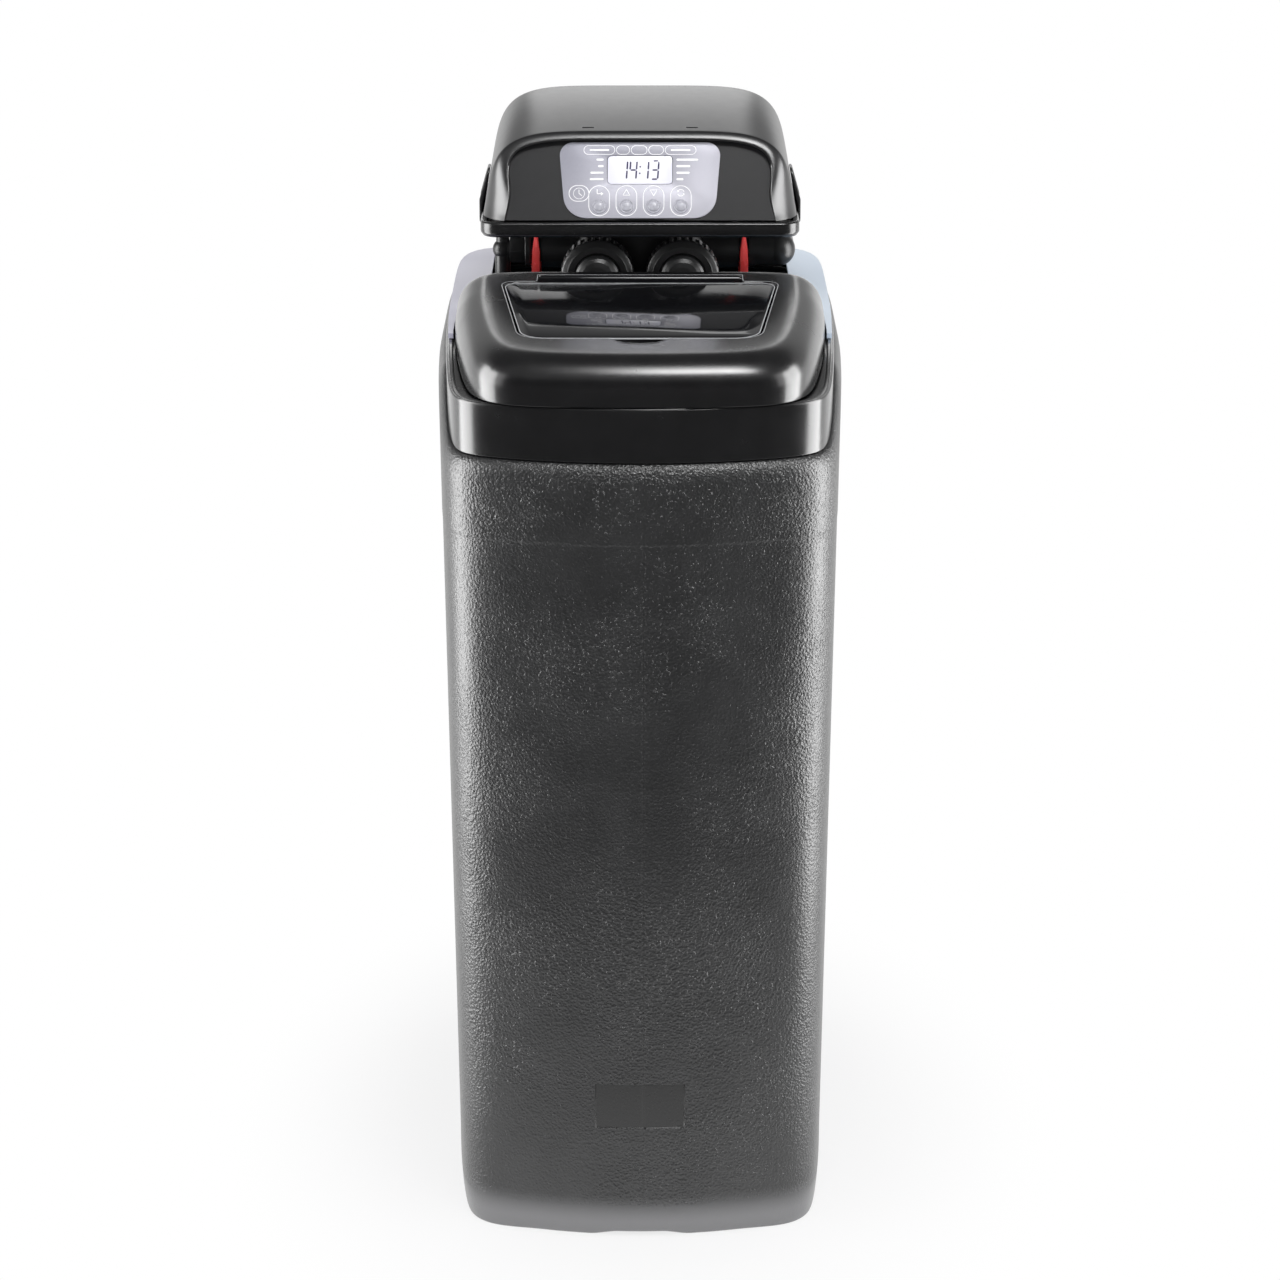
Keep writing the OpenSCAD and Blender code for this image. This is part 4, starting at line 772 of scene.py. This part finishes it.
def hoodPoints(y, inset, a):
    # the arch carried back, with a crown that leans back at the front and stands up at the back
    k = hoodForm
    s = (y - k["front"]) / (k["back"] - k["front"])
    ex, ey = archAt(a)
    high = (k["frontHigh"] + k["rise"] * np.sin(np.pi / 2 * s) - inset) * ey
    x = (k["half"] - inset) * (1 - k["lean"] * ey) * ex
    return together(x, y + high * np.tan(np.radians(k["tilt"])) * (1 - s) ** 2, k["foot"] + high)


def browRoll(ey):
    # share of side at each height, the roll's radius, how far it turns, and its inset and depth where it ends
    k = hoodForm
    low = 1 - smooth((ey - 0.05) / 0.87)
    r = k["lipRound"] + (k["sideRound"] - k["lipRound"]) * low
    last = np.radians(90 - k["sideShort"] * low)
    return low, r, last, r * (1 - np.cos(last)), r * (1 - np.sin(last))


def hoodSkin():
    # rows run along the outside to the front, round the brow and back along the inside, and columns
    # follow the arch
    k = hoodForm
    first, last = k["front"] + k["lipRound"], k["back"] - 0.8
    way = np.linspace(0, np.pi, 4001)
    run = wayAlong(hoodPoints(40.0, 0.0, way))
    slot = np.array([side * k["slotX"] + by for side in (-1, 1) for by in (-3.7, -3.4, 3.4, 3.7)])
    slotShare = np.abs(slot) / (k["half"] * (1 - k["lean"]))
    slotAngles = np.arccos(np.sign(slot) * slotShare ** (k["arch"] / 2))
    a = np.unique(np.concatenate([np.interp(np.linspace(0, run[-1], 160), run, way), slotAngles]))
    sample = np.linspace(k["front"], k["back"], 2001)
    crown = hoodPoints(sample, 0.0, np.pi / 2)[:, 1]
    slotEdges = np.array([-0.15, 0.15, k["slotLong"] - 0.15, k["slotLong"] + 0.15])
    slotRows = np.interp(k["slotY"] + slotEdges, crown, sample)
    outside = np.unique(np.concatenate([np.linspace(first, last, 44), slotRows]))[::-1]
    low, r, turn, endIn, endBack = browRoll(archAt(a)[1])
    t = np.linspace(0, 1, 15)[1:, None] * turn
    shell = last + (outside[:, None] - last) * (last - k["front"] - r) / (last - first)
    # (depth, inset) past the roll
    crownLip = np.array([(0.05, 0.2), (0.5, 1.0), (1.6, 1.3), (4.2, 1.3)])
    sideLip = np.array([(0.34, 0.14), (0.64, 0.24), (0.84, 0.24), (0.94, 0.24)])
    lip = crownLip[:, None] + (sideLip - crownLip)[:, None] * low[:, None]
    within = np.concatenate([[5.2], np.linspace(8, k["back"], 24)])[:, None] + 0 * r
    cut = np.clip(1 - (within - k["front"]) / r, 0, 1)
    ones = np.ones((1, len(a)))
    y = np.concatenate([k["back"] * ones, shell, k["front"] + r * (1 - np.sin(t)),
                        k["front"] + endBack + lip[..., 0], within])
    inset = np.concatenate([0.6 * ones, 0 * shell, r * (1 - np.cos(t)), endIn + lip[..., 1],
                            k["wall"] + r * (1 - np.sqrt(1 - cut ** 2))])
    grid = hoodPoints(y, inset, a[None, :])
    inSlot = np.abs(np.abs(grid[..., 0]) - k["slotX"]) < k["slotHalf"]
    inSlot &= (grid[..., 1] > k["slotY"]) & (grid[..., 1] < k["slotY"] + k["slotLong"])
    inSlot &= (inset == 0) & (grid[..., 2] > k["foot"] + 40)
    grid[..., 2] -= k["slotDeep"] * inSlot
    return gridSkin(grid[:, ::-1], loop=True, ring=False)


def faceSkin():
    # the arched face behind the brow, open under the label for the buttons and the display
    k, f = hoodForm, faceForm
    ex, ey = archAt(np.linspace(0, np.pi, 161))
    edge = browRoll(ey)[3] + 0.1
    high = (k["frontHigh"] - edge) / np.cos(np.radians(k["tilt"]))
    outline = evenRing(together((k["half"] - edge) * (1 - k["lean"] * ey) * ex, 0.3 + high * ey), 900)
    opening = evenRing(boxOutline(f["openHalf"], f["openLow"], f["openHigh"], 3, 6), 900)
    theta = [np.arctan2(p[::3, 1] - f["centre"], p[::3, 0]) for p in (outline, opening)]
    theta = np.unique(np.concatenate(theta))
    under = -f["thick"]
    outerRows = [(0.3, under), (0, under + 0.3), (0, -0.3), (0.3, 0), (1.3, 0)]
    rings = []
    for ring, rows in ((outline, outerRows), (opening, [(0, 0), (0, under)])):
        for drawn, z in rows:
            far = polarRadius(ring, theta, f["centre"]) - drawn
            rings.append(together(far * np.cos(theta), f["centre"] + far * np.sin(theta), z))
    return gridSkin(onFace(np.stack(rings)), loop=True)


latchForm = {"foot": 95.2, "head": 90.0, "thick": 1.6, "y": 53, "half": 12.8, "low": 558.2, "high": 590.8,
             "innerFrom": 567.2, "outerFrom": 572.2, "leanTo": 591}


def latchSkin(side):
    # a rounded spring plate, upright beside the tray and leaning in with the hood's side above it
    k = latchForm
    tall, half = (k["high"] - k["low"]) / 2, k["half"]
    corners = [[-half, -tall], [half, -tall], [half - 2, tall], [2 - half, tall]]
    outline = evenRing(roundedOutline(corners, [3, 3, 5, 5], 6), 96)
    rows = slabRows(outline, [(0.9, -1), (0.2, -0.75), (0, -0.3), (0, 0.3), (0.2, 0.75), (0.9, 1)])
    z = (k["low"] + k["high"]) / 2 + rows[..., 1]
    inner = np.interp(z, [k["innerFrom"], k["leanTo"]], [k["foot"], k["head"]])
    outer = np.interp(z, [k["outerFrom"], k["leanTo"]], [k["foot"], k["head"]]) + k["thick"]
    x = side * (inner + (outer - inner) * (rows[..., 2] * side + 1) / 2)
    return gridSkin(together(x, k["y"] + rows[..., 0], z))


makePiece("tray_skirt", [traySkin()], "cabinet", "black_cover", ["base_tray"], 50, finishes["gloss_black"])
makePiece("hood_shell", [hoodSkin()], "cabinet", "black_cover", ["valve_hood"], 50)
makePiece("face_plate", [faceSkin()], "cabinet", "black_cover", ["front_fascia"], 50, finishes["face"])
makePiece("latch_arms", [latchSkin(-1), latchSkin(1)], "cabinet", "black_cover", ["hood_latches"])
print("tray and hood made")


# Display panel: label with its window, printed marks, display, digits and buttons

panelForm = {"low": 1.5, "high": 48, "lowHalf": 44.5, "highHalf": 48.5, "thick": 0.8, "points": 240,
             "glassHalf": 19.25, "glassLow": 22.5, "glassHigh": 39.5, "windowRoom": 0.3, "buttonY": 8.7,
             "pitch": 16.2, "ink": 0.42, "inkLow": 0.7, "inkTop": 0.92, "iconY": 17.0, "dial": (-36.3, 16.6),
             "pillY": 43.2, "dashX": 21.6, "dashY": 37.3, "dashPitch": 4.0, "dashTall": 0.62}


def inkStroke(path, closed=False, width=panelForm["ink"]):
    # a flat ribbon: four edges carried along the path, half a width to each side
    k = panelForm
    heading = np.roll(path, -1, axis=0) - np.roll(path, 1, axis=0) if closed else np.gradient(path, axis=0)
    heading = unit(heading)
    side = together(-heading[:, 1], heading[:, 0]) * width / 2
    left, right, low, high = path + side, path - side, k["inkLow"], k["inkTop"]
    edges = [together(*line.T, z) for line, z in ((left, low), (left, high), (right, high), (right, low))]
    return gridSkin(onFace(np.stack(edges, axis=1)), loop=closed)


def inkPatch(outline):
    rows = [(0, panelForm["inkLow"]), (0, panelForm["inkTop"])]
    return slabSkin(np.asarray(outline, dtype=float), rows, onFace)


def capsule(x, y, half, tall, points=64):
    # a stadium outline about a centre
    return evenRing(boxOutline(half, y - tall, y + tall, min(half, tall) - 0.01, 16, x), points)


def arcPath(x, y, radius, start, end, points=24):
    a = np.radians(np.linspace(start, end, points))
    return together(x + radius * np.cos(a), y + radius * np.sin(a))


def polyPath(corners, points=10):
    # straight runs between corners, closely enough set that the ribbon turns cleanly
    corners = np.asarray(corners, dtype=float)
    t = np.linspace(0, 1, points)[:, None]
    return np.concatenate([a + (b - a) * t for a, b in zip(corners[:-1], corners[1:])])


def labelSkin():
    # a film with rounded corners, open where the display shows
    k = panelForm
    low, high, room = k["lowHalf"], k["highHalf"], k["windowRoom"]
    corners = [[-low, k["low"]], [low, k["low"]], [high, k["high"]], [-high, k["high"]]]
    outline = evenRing(roundedOutline(corners, [14, 14, 8, 8], 12), k["points"])
    window = boxOutline(k["glassHalf"] + room, k["glassLow"] - room, k["glassHigh"] + room, 2.4)
    outer = slabRows(outline, [(0, 0.02), (0, 0.5), (0.1, 0.7), (0.3, k["thick"])])
    inner = slabRows(evenRing(window, k["points"]), [(-0.25, k["thick"]), (-0.06, 0.72), (0, 0.5), (0, 0.02)])
    return gridSkin(onFace(np.concatenate([outer, inner])), loop=True)


def buttonX(i):
    return (i - 1.5) * panelForm["pitch"]


def panelInk():
    # outlines, icons and plain dashes in the label's own plane
    k = panelForm
    strokes = [inkStroke(capsule(buttonX(i), 12.1, 6.15, 9.2), True) for i in range(4)]
    x, y = k["dial"]                                      # a clock dial
    strokes += [inkStroke(capsule(x, y, 5.9, 4.8), True),
                inkStroke(arcPath(x, y, 3.3, 0, 360, 48)[:-1], True, 0.3),
                inkStroke(polyPath([[x, y + 2.3], [x, y]]), width=0.4),
                inkStroke(polyPath([[x, y], [x + 1.7, y - 1.4]]), width=0.4)]
    x, y = buttonX(0), k["iconY"]                         # a step arrow
    strokes += [inkStroke(polyPath([[x - 1.2, y + 2.2], [x - 1.2, y - 0.6]]), width=0.55),
                inkStroke(polyPath([[x - 1.45, y - 0.6], [x + 1.2, y - 0.6]]), width=0.55),
                inkPatch([[x + 1.0, y - 1.7], [x + 2.6, y - 0.6], [x + 1.0, y + 0.5]])]
    triangles = ([[-2.1, -1.5], [2.1, -1.5], [0, 2.0]], [[-2.1, 1.7], [0, -1.8], [2.1, 1.7]])
    for i, corners in enumerate(triangles, 1):            # up and down
        strokes.append(inkStroke(evenRing(np.array(corners) + [buttonX(i), y], 45), True))
    x = buttonX(3)                                        # two arrows that chase each other
    for turn in (0, 180):
        strokes.append(inkStroke(arcPath(x, y, 2.0, turn + 15, turn + 140), width=0.45))
        tips = ((2.8, 142), (2.0, 176), (1.2, 142))
        strokes.append(inkPatch([arcPath(x, y, radius, turn + at, 0, 1)[0] for radius, at in tips]))
    for left, right in ((-33.4, -15.0), (-14.0, -6.2), (-5.2, 4.2), (5.2, 14.0), (15.0, 33.4)):
        x, half = (left + right) / 2, (right - left) / 2
        strokes.append(inkStroke(capsule(x, k["pillY"], half, 2.7), True, 0.34))
        if half - 3.2 > 1.5:
            strokes.append(inkPatch(capsule(x, k["pillY"], half - 3.2, 0.5, 32)))
    for row, lengths in enumerate(((4.4, 13.2), (3.4, 8.4), (8.0, 8.0), (8.4, 4.2))):
        y = k["dashY"] - k["dashPitch"] * row             # plain dashes stand where words would be
        for side, long in zip((-1, 1), lengths):
            dash = capsule(side * (k["dashX"] + long / 2), y, long / 2, k["dashTall"], 32)
            strokes.append(inkPatch(dash))
    return strokes


def displaySkin():
    k = panelForm
    outline = evenRing(boxOutline(k["glassHalf"], k["glassLow"], k["glassHigh"], 2.1), 160)
    return slabSkin(outline, [(0, -2.6), (0, 0.4), (0.12, 0.54), (0.35, 0.6)], onFace)


digitForm = {"half": 1.9, "tall": 5.6, "thick": 0.95, "slant": 0.07, "at": [-9.6, -4.0, 3.0, 9.0],
             "middle": 31.0, "gap": 0.22, "dotHalf": 0.45, "dotY": 2.0, "low": 0.55, "high": 0.66}
litBars = {1: "bc", 3: "abgcd", 4: "fgbc"}


def digitSkins(shown):
    # bars with pointed ends, leaning a little, and the two dots of a clock
    k = digitForm
    w, h, t = k["half"], k["tall"], k["thick"] / 2
    ends = {"a": ((-w, h), (w, h)), "g": ((-w, 0), (w, 0)), "d": ((-w, -h), (w, -h)), "b": ((w, h), (w, 0)),
            "c": ((w, 0), (w, -h)), "f": ((-w, h), (-w, 0))}
    rows = [(0, k["low"]), (0, k["high"])]
    skins = []
    for digit, x in zip(shown, k["at"]):
        for name in litBars[digit]:
            start, end = np.array(ends[name], dtype=float)
            along = unit(end - start)
            side, tip = np.array([-along[1], along[0]]) * t, along * t
            a, b = start + along * k["gap"], end - along * k["gap"]
            outline = np.stack([a, a + tip - side, b - tip - side, b, b - tip + side, a + tip + side])
            outline = outline + together(k["slant"] * outline[:, 1] + x, k["middle"])
            skins.append(slabSkin(outline, rows, onFace))
    for y in (-k["dotY"], k["dotY"]):
        low, high = k["middle"] + y - k["dotHalf"], k["middle"] + y + k["dotHalf"]
        skins.append(slabSkin(boxOutline(k["dotHalf"], low, high, 0.1, 2, k["slant"] * y), rows, onFace))
    return skins


def buttonSkin(i):
    # a dome inside a raised ring, on a short skirt
    chain = [(2.0, -6.8), (2.0, -2.8), (4.4, -2.8), (4.4, 1.15), (4.05, 1.5), (3.7, 1.2), (3.4, 1.1),
             (3.1, 1.35)]
    profile = softened(chain, [0, 0, 0.2, 0.3, 0.3, 0.2, 0.2, 0])
    dome = [(3.1 * np.cos(t), 1.35 + 1.0 * np.sin(t)) for t in np.radians([15, 30, 45, 60, 75, 87])]
    vectors = [onFace(v) - onFace([0, 0, 0]) for v in np.eye(3)]
    origin = onFace([buttonX(i), panelForm["buttonY"], 0])
    return turned(np.concatenate([profile, dome]), origin, count=48, vectors=vectors)


makePiece("label_film", [labelSkin()], "cabinet", "label", ["panel_label"])
makePiece("label_ink", panelInk(), "cabinet", "label", finish=finishes["ink"])
makePiece("display_glass", [displaySkin()], "cabinet", "display", ["lcd_screen"])
makePiece("display_digits", digitSkins([1, 4, 1, 3]), "cabinet", "display", finish=finishes["digit"])
for i, word in enumerate(("clock", "up", "down", "regen")):
    makePiece("cap_" + word, [buttonSkin(i)], "button_" + word + "_body", "button", ["button_" + word])
print("display panel made")


# Ribbed nuts and side fittings

nutForm = {"x": 25.5, "z": 531, "front": 10, "back": 27, "radius": 22, "ribs": 30, "deep": 1.3, "hole": 13.9,
           "inside": 17.4}
sideForm = {"y": 78, "z": 535, "clipIn": 60.7, "clipThick": 5.5, "elbowX": -84}
clipForm = {"bore": 8.4, "legs": -16.6, "foot": -17.0, "footHalf": 13.0, "half": 11.4, "shoulder": 6.0,
            "corner": 5.6, "eased": 0.0875}


def nutSkin(side):
    # a turned ring with rounded ribs, which fade out over a millimetre at each end
    k = nutForm
    y0, y1, r, hole = k["front"], k["back"], k["radius"], k["hole"]
    low, high = y0 + 2.2, y1 - 1.2
    profile = [(hole, y0 + 2.6), (hole, y0 + 0.7), (hole + 0.7, y0), (r - 4.0, y0), (r - 3.2, y0 + 0.5),
               (r - 1.3, y0 + 1.1), (r - 0.5, y0 + 1.7), (r, y0 + 2.6), (r, y0 + 3.4), (r, y0 + 8),
               (r, y1 - 2.4), (r, y1 - 1.6), (r - 0.6, y1 - 0.5), (r - 1.4, y1), (k["inside"], y1),
               (k["inside"], y0 + 2.9)]

    def ribs(angle, height, radius):
        share = smooth((height - low) / 1.2) * smooth((high - height) / 1.2) * (radius > 15)
        return k["deep"] * share * smooth(0.5 + 1.4 * np.cos(k["ribs"] * angle))

    return turned(profile, (side * k["x"], 0, k["z"]), "y", 360, loop=True, wave=ribs)


def forkSkin(side):
    # a fork over the fitting: its section is carried from one foot over the top to the other, thin above
    k, c = sideForm, clipForm
    arc = arcPath(0, 0, c["bore"], -62, 242, 80)[10:-10]
    inner = np.concatenate([[[c["bore"], c["legs"]]], arc, [[-c["bore"], c["legs"]]]])
    reach, top = c["half"] - c["corner"], 7.4
    half = np.concatenate([polyPath([[c["footHalf"], c["foot"]], [c["half"], c["shoulder"]]], 20),
                           arcPath(reach - 0.2, top, c["corner"], 0, 90, 14)])
    outer = np.concatenate([half, half[::-1] * [-1, 1]])
    run = wayAlong(outer)
    at = np.linspace(0, run[-1], len(inner))
    outer = together(*(np.interp(at, run, line) for line in outer.T))
    middle = (outer + inner) / 2
    section = [(outer, 0.1, c["eased"]), (outer, 0.3, 0), (outer, 0.7, 0), (outer, 0.9, c["eased"]),
               (inner, 1.0, 0), (inner, 0.7, 0), (inner, 0.3, 0), (inner, 0.0, 0)]
    rows = []
    for line, depth, eased in section:
        line = line + (middle - line) * eased
        thick = k["clipThick"] * (0.34 + 0.66 * smooth((12.5 - line[:, 1]) / 14))
        x = side * (k["clipIn"] + k["clipThick"] / 2 + (depth - 0.5) * thick * side)
        rows.append(together(x, k["y"] + line[:, 0], k["z"] + line[:, 1]))
    return gridSkin(np.stack(rows, axis=1))


def blockSkin():
    # a hexagon with eased corners and chamfered ends, set along x
    k = sideForm
    outline = roundedOutline(arcPath(0, 0, 9, 0, 300, 6), [1.2] * 6, 4)
    rows = slabRows(outline, [(0.9, -79.7), (0.2, -79.4), (0, -78.6), (0, -71.6), (0.2, -70.9),
                              (0.9, -70.65)])
    return gridSkin(together(rows[..., 2], k["y"] + rows[..., 0], k["z"] + rows[..., 1]))


def elbowSkins():
    # a ball with a blind boss above and a beaded socket below, and the collar and stem that the clip holds
    k = sideForm
    place = (k["elbowX"], k["y"], k["z"])
    ball = [(6.2 * np.sin(t), -6.2 * np.cos(t)) for t in np.radians(np.linspace(3, 177, 25))]
    boss = softened([(1.0, 0), (4.2, 0), (3.9, 13), (1.0, 13)], [0, 0, 1.8, 0], 5)
    socket = softened([(1.0, -22), (5.4, -22), (5.4, -18.5), (4.8, -17.5), (4.8, 0), (1.0, 0)],
                      [0, 0.8, 0.8, 0.5, 0, 0])
    stem = softened([(1.0, 0), (5.5, 0), (5.5, 13.7), (11, 13.7), (11, 17.2), (7.9, 17.2), (7.9, 43),
                     (1.0, 43)], [0, 0, 0, 0.6, 0.6, 0, 0.6, 0])
    return [turned(ball, place), turned(boss, place), turned(socket, place), turned(stem, place, "x")]


makePiece("elbow_left", elbowSkins(), "cabinet", "black_plastic", ["brine_elbow"], 50)
makePiece("block_left", [blockSkin()], "cabinet", "black_plastic", ["brine_nut"])
makePiece("nut_left", [nutSkin(-1)], "cabinet", "black_plastic", ["plug_nut"])
makePiece("nut_right", [nutSkin(1)], "cabinet", "black_plastic", ["meter_nut"])
makePiece("clip_left", [forkSkin(-1)], "cabinet", "red_plastic", ["brine_clip"], 45)
makePiece("clip_right", [forkSkin(1)], "cabinet", "red_plastic", ["drain_clip"], 45)
print("fittings made")


# Brine line: the tube's own route, straight down, a bend, an easy run and a bend into the well

lineForm = {"x": -84, "y": 78, "top": 513, "width": 8.5, "bend": 34, "straight": 6, "turn": 25, "pull": 45,
            "well": (-46, -118), "pickup": 446.3}


def linePath():
    k = lineForm
    bend = k["bend"]
    low, high = k["top"] - k["straight"] - bend, k["pickup"] + k["straight"] + bend
    turn = np.radians(k["turn"])
    head = np.array([np.sin(turn), -np.cos(turn), 0])
    start = np.array([k["x"], k["y"] - bend, low])
    end = np.array([*k["well"], high]) - bend * head
    t = np.radians(np.linspace(0, 90, 13))
    first = together(k["x"], k["y"] - bend * (1 - np.cos(t)), low + bend * (1 - np.sin(t)))
    u = np.linspace(0, 1, 16)[1:-1, None]
    ease = ((1 - u) ** 3 * start + 3 * u * (1 - u) ** 2 * (start + [0, -k["pull"], 0])
            + 3 * u ** 2 * (1 - u) * (end - k["pull"] * head) + u ** 3 * end)
    last = end + bend * (np.sin(t)[:, None] * head - (1 - np.cos(t))[:, None] * np.array([0, 0, 1]))
    return np.concatenate([[[k["x"], k["y"], k["top"]]], first, ease, last, [[*k["well"], k["pickup"]]]])


route = linePath()
brineTube = makePiece("brine_tube", [tubeAlong(route, lineForm["width"] / 2, 28)], "cabinet", "hose",
                      ["brine_line"], 60)


# Floor, world and lamps

stageForm = {"floor": 12, "shadow": 0.25, "front": 0.10, "back": 1.0, "backHigh": 0.4, "ceilingFront": 0.28,
             "ceilingBack": 0.1, "ambient": 0.80}


def rayKinds(wire):
    # rays that look straight at the stage or through glass, and rays that were mirrored
    rays = wire.node("ShaderNodeLightPath").socket.node.outputs
    names = ("Is Camera Ray", "Is Transmission Ray", "Is Glossy Ray")
    camera, through, mirrored = (Wire(wire.tree, rays[name]) for name in names)
    return wire.math("MAXIMUM", camera, through), mirrored


def floorShade(tree):
    # white for the eye; near the object part of it is the lit floor, so that the shadow stays
    tree.nodes.clear()
    wire = Wire(tree)
    seen, mirrored = rayKinds(wire)
    place, (x, y, z) = coordinates(wire)
    away = ((x / 120.0) ** 2.0 + (y / 205.0) ** 2.0) ** 0.5
    clear = away.ramp(1.0, 2.2, 1 - stageForm["shadow"], 1.0)
    level = seen + mirrored * y.ramp(-800.0, -230.0, stageForm["front"], 1.0)     # dimmer far in front
    lit = wire.node("ShaderNodeBsdfDiffuse", {}, {"Color": (0.84, 0.84, 0.85, 1)})
    white = wire.node("ShaderNodeEmission", {}, {"Color": (1, 1, 1, 1), "Strength": level})
    share = wire.math("MAXIMUM", seen * clear, mirrored)
    both = wire.node("ShaderNodeMixShader", {}, {0: share, 1: lit, 2: white})
    tree.links.new(both.socket, tree.nodes.new("ShaderNodeOutputMaterial").inputs["Surface"])


floorMaterial = bpy.data.materials.new("paleFloor")
floorMaterial.use_nodes = True
floorShade(floorMaterial.node_tree)
floorMesh = bpy.data.meshes.new("floor")
floorCorners = [(x * stageForm["floor"], y * stageForm["floor"], 0)
                for x, y in ((-1, -1), (1, -1), (1, 1), (-1, 1))]
floorMesh.from_pydata(floorCorners, [], [(0, 1, 2, 3)])
floorMesh.materials.append(floorMaterial)
floor = addObject("floor", floorMesh)


def studioShade(tree):
    # white for the eye; mirrored, white behind the object, dimmer higher up there and dark in front
    tree.nodes.clear()
    wire = Wire(tree)
    x, y, z = splitUp(wire, wire.node("ShaderNodeTexCoord"))
    seen, mirrored = rayKinds(wire)
    walls = y.ramp(-0.7, 0.1, stageForm["front"], stageForm["back"])
    walls = walls * z.ramp(0.04, 0.24, 1.0, stageForm["backHigh"])
    ceiling = y.ramp(-0.3, 0.2, stageForm["ceilingFront"], stageForm["ceilingBack"])
    raised = z.ramp(0.46, 0.66)
    around = walls * (1 - raised) + raised * ceiling
    strength = seen + mirrored * around + (1 - seen) * (1 - mirrored) * stageForm["ambient"]
    background = wire.node("ShaderNodeBackground", {}, {"Color": (1, 1, 1, 1), "Strength": strength})
    tree.links.new(background.socket, tree.nodes.new("ShaderNodeOutputWorld").inputs["Surface"])


world = bpy.data.worlds.new("studio")
bpy.context.scene.world = world
world.use_nodes = True
studioShade(world.node_tree)

lampForm = {
    "softLeft": {"place": (-1.4, -0.5, 0.9), "aim": (0, -0.05, 0.45), "size": (0.8, 1.0), "bright": 1.6},
    "softRight": {"place": (1.4, -0.5, 0.9), "aim": (0, -0.05, 0.45), "size": (0.8, 1.0), "bright": 1.6},
    "softTop": {"place": (0.20, -0.75, 1.9), "aim": (0.20, -0.16, 0.5), "size": (0.50, 0.6), "bright": 6.0},
    "cardTop": {"place": (0.34, -0.92, 1.9), "aim": (0.34, -0.16, 0.5), "size": (0.70, 0.4), "bright": 13.0},
    "softBack": {"place": (0, 1.7, 1.15), "aim": (0, 0.0, 0.6), "size": (0.6, 0.75), "bright": 1.08},
    "fillFront": {"place": (0, -2.4, 0.75), "aim": (0, 0, 0.52), "size": (1.0, 0.6), "bright": 8.0},
    "cardLeft": {"place": (-0.64, -0.09, 0.43), "aim": (0, -0.09, 0.43), "size": (0.42, 0.85), "bright": 7.0},
    "cardRight": {"place": (0.64, -0.09, 0.43), "aim": (0, -0.09, 0.43), "size": (0.42, 0.85), "bright": 7.0},
}
for name, lamp in lampForm.items():
    data = bpy.data.lights.new(name, "AREA")
    data.shape = "RECTANGLE"
    data.size, data.size_y = lamp["size"]
    data.energy = lamp["bright"] * np.pi * data.size * data.size_y
    lampObject = addObject(name, data)
    towards = unit(np.array(lamp["aim"]) - np.array(lamp["place"]))
    lampObject.location = lamp["place"]
    lampObject.rotation_euler = (np.arccos(-towards[2]), 0, np.arctan2(-towards[0], towards[1]))
    lampObject.visible_diffuse = not name.startswith("card")      # the cards are only there to be mirrored
    lampObject.visible_glossy = not name.startswith("fill")       # and the fill only to light the shade

bpy.context.scene.view_settings.view_transform = "Standard"
print("stage set")
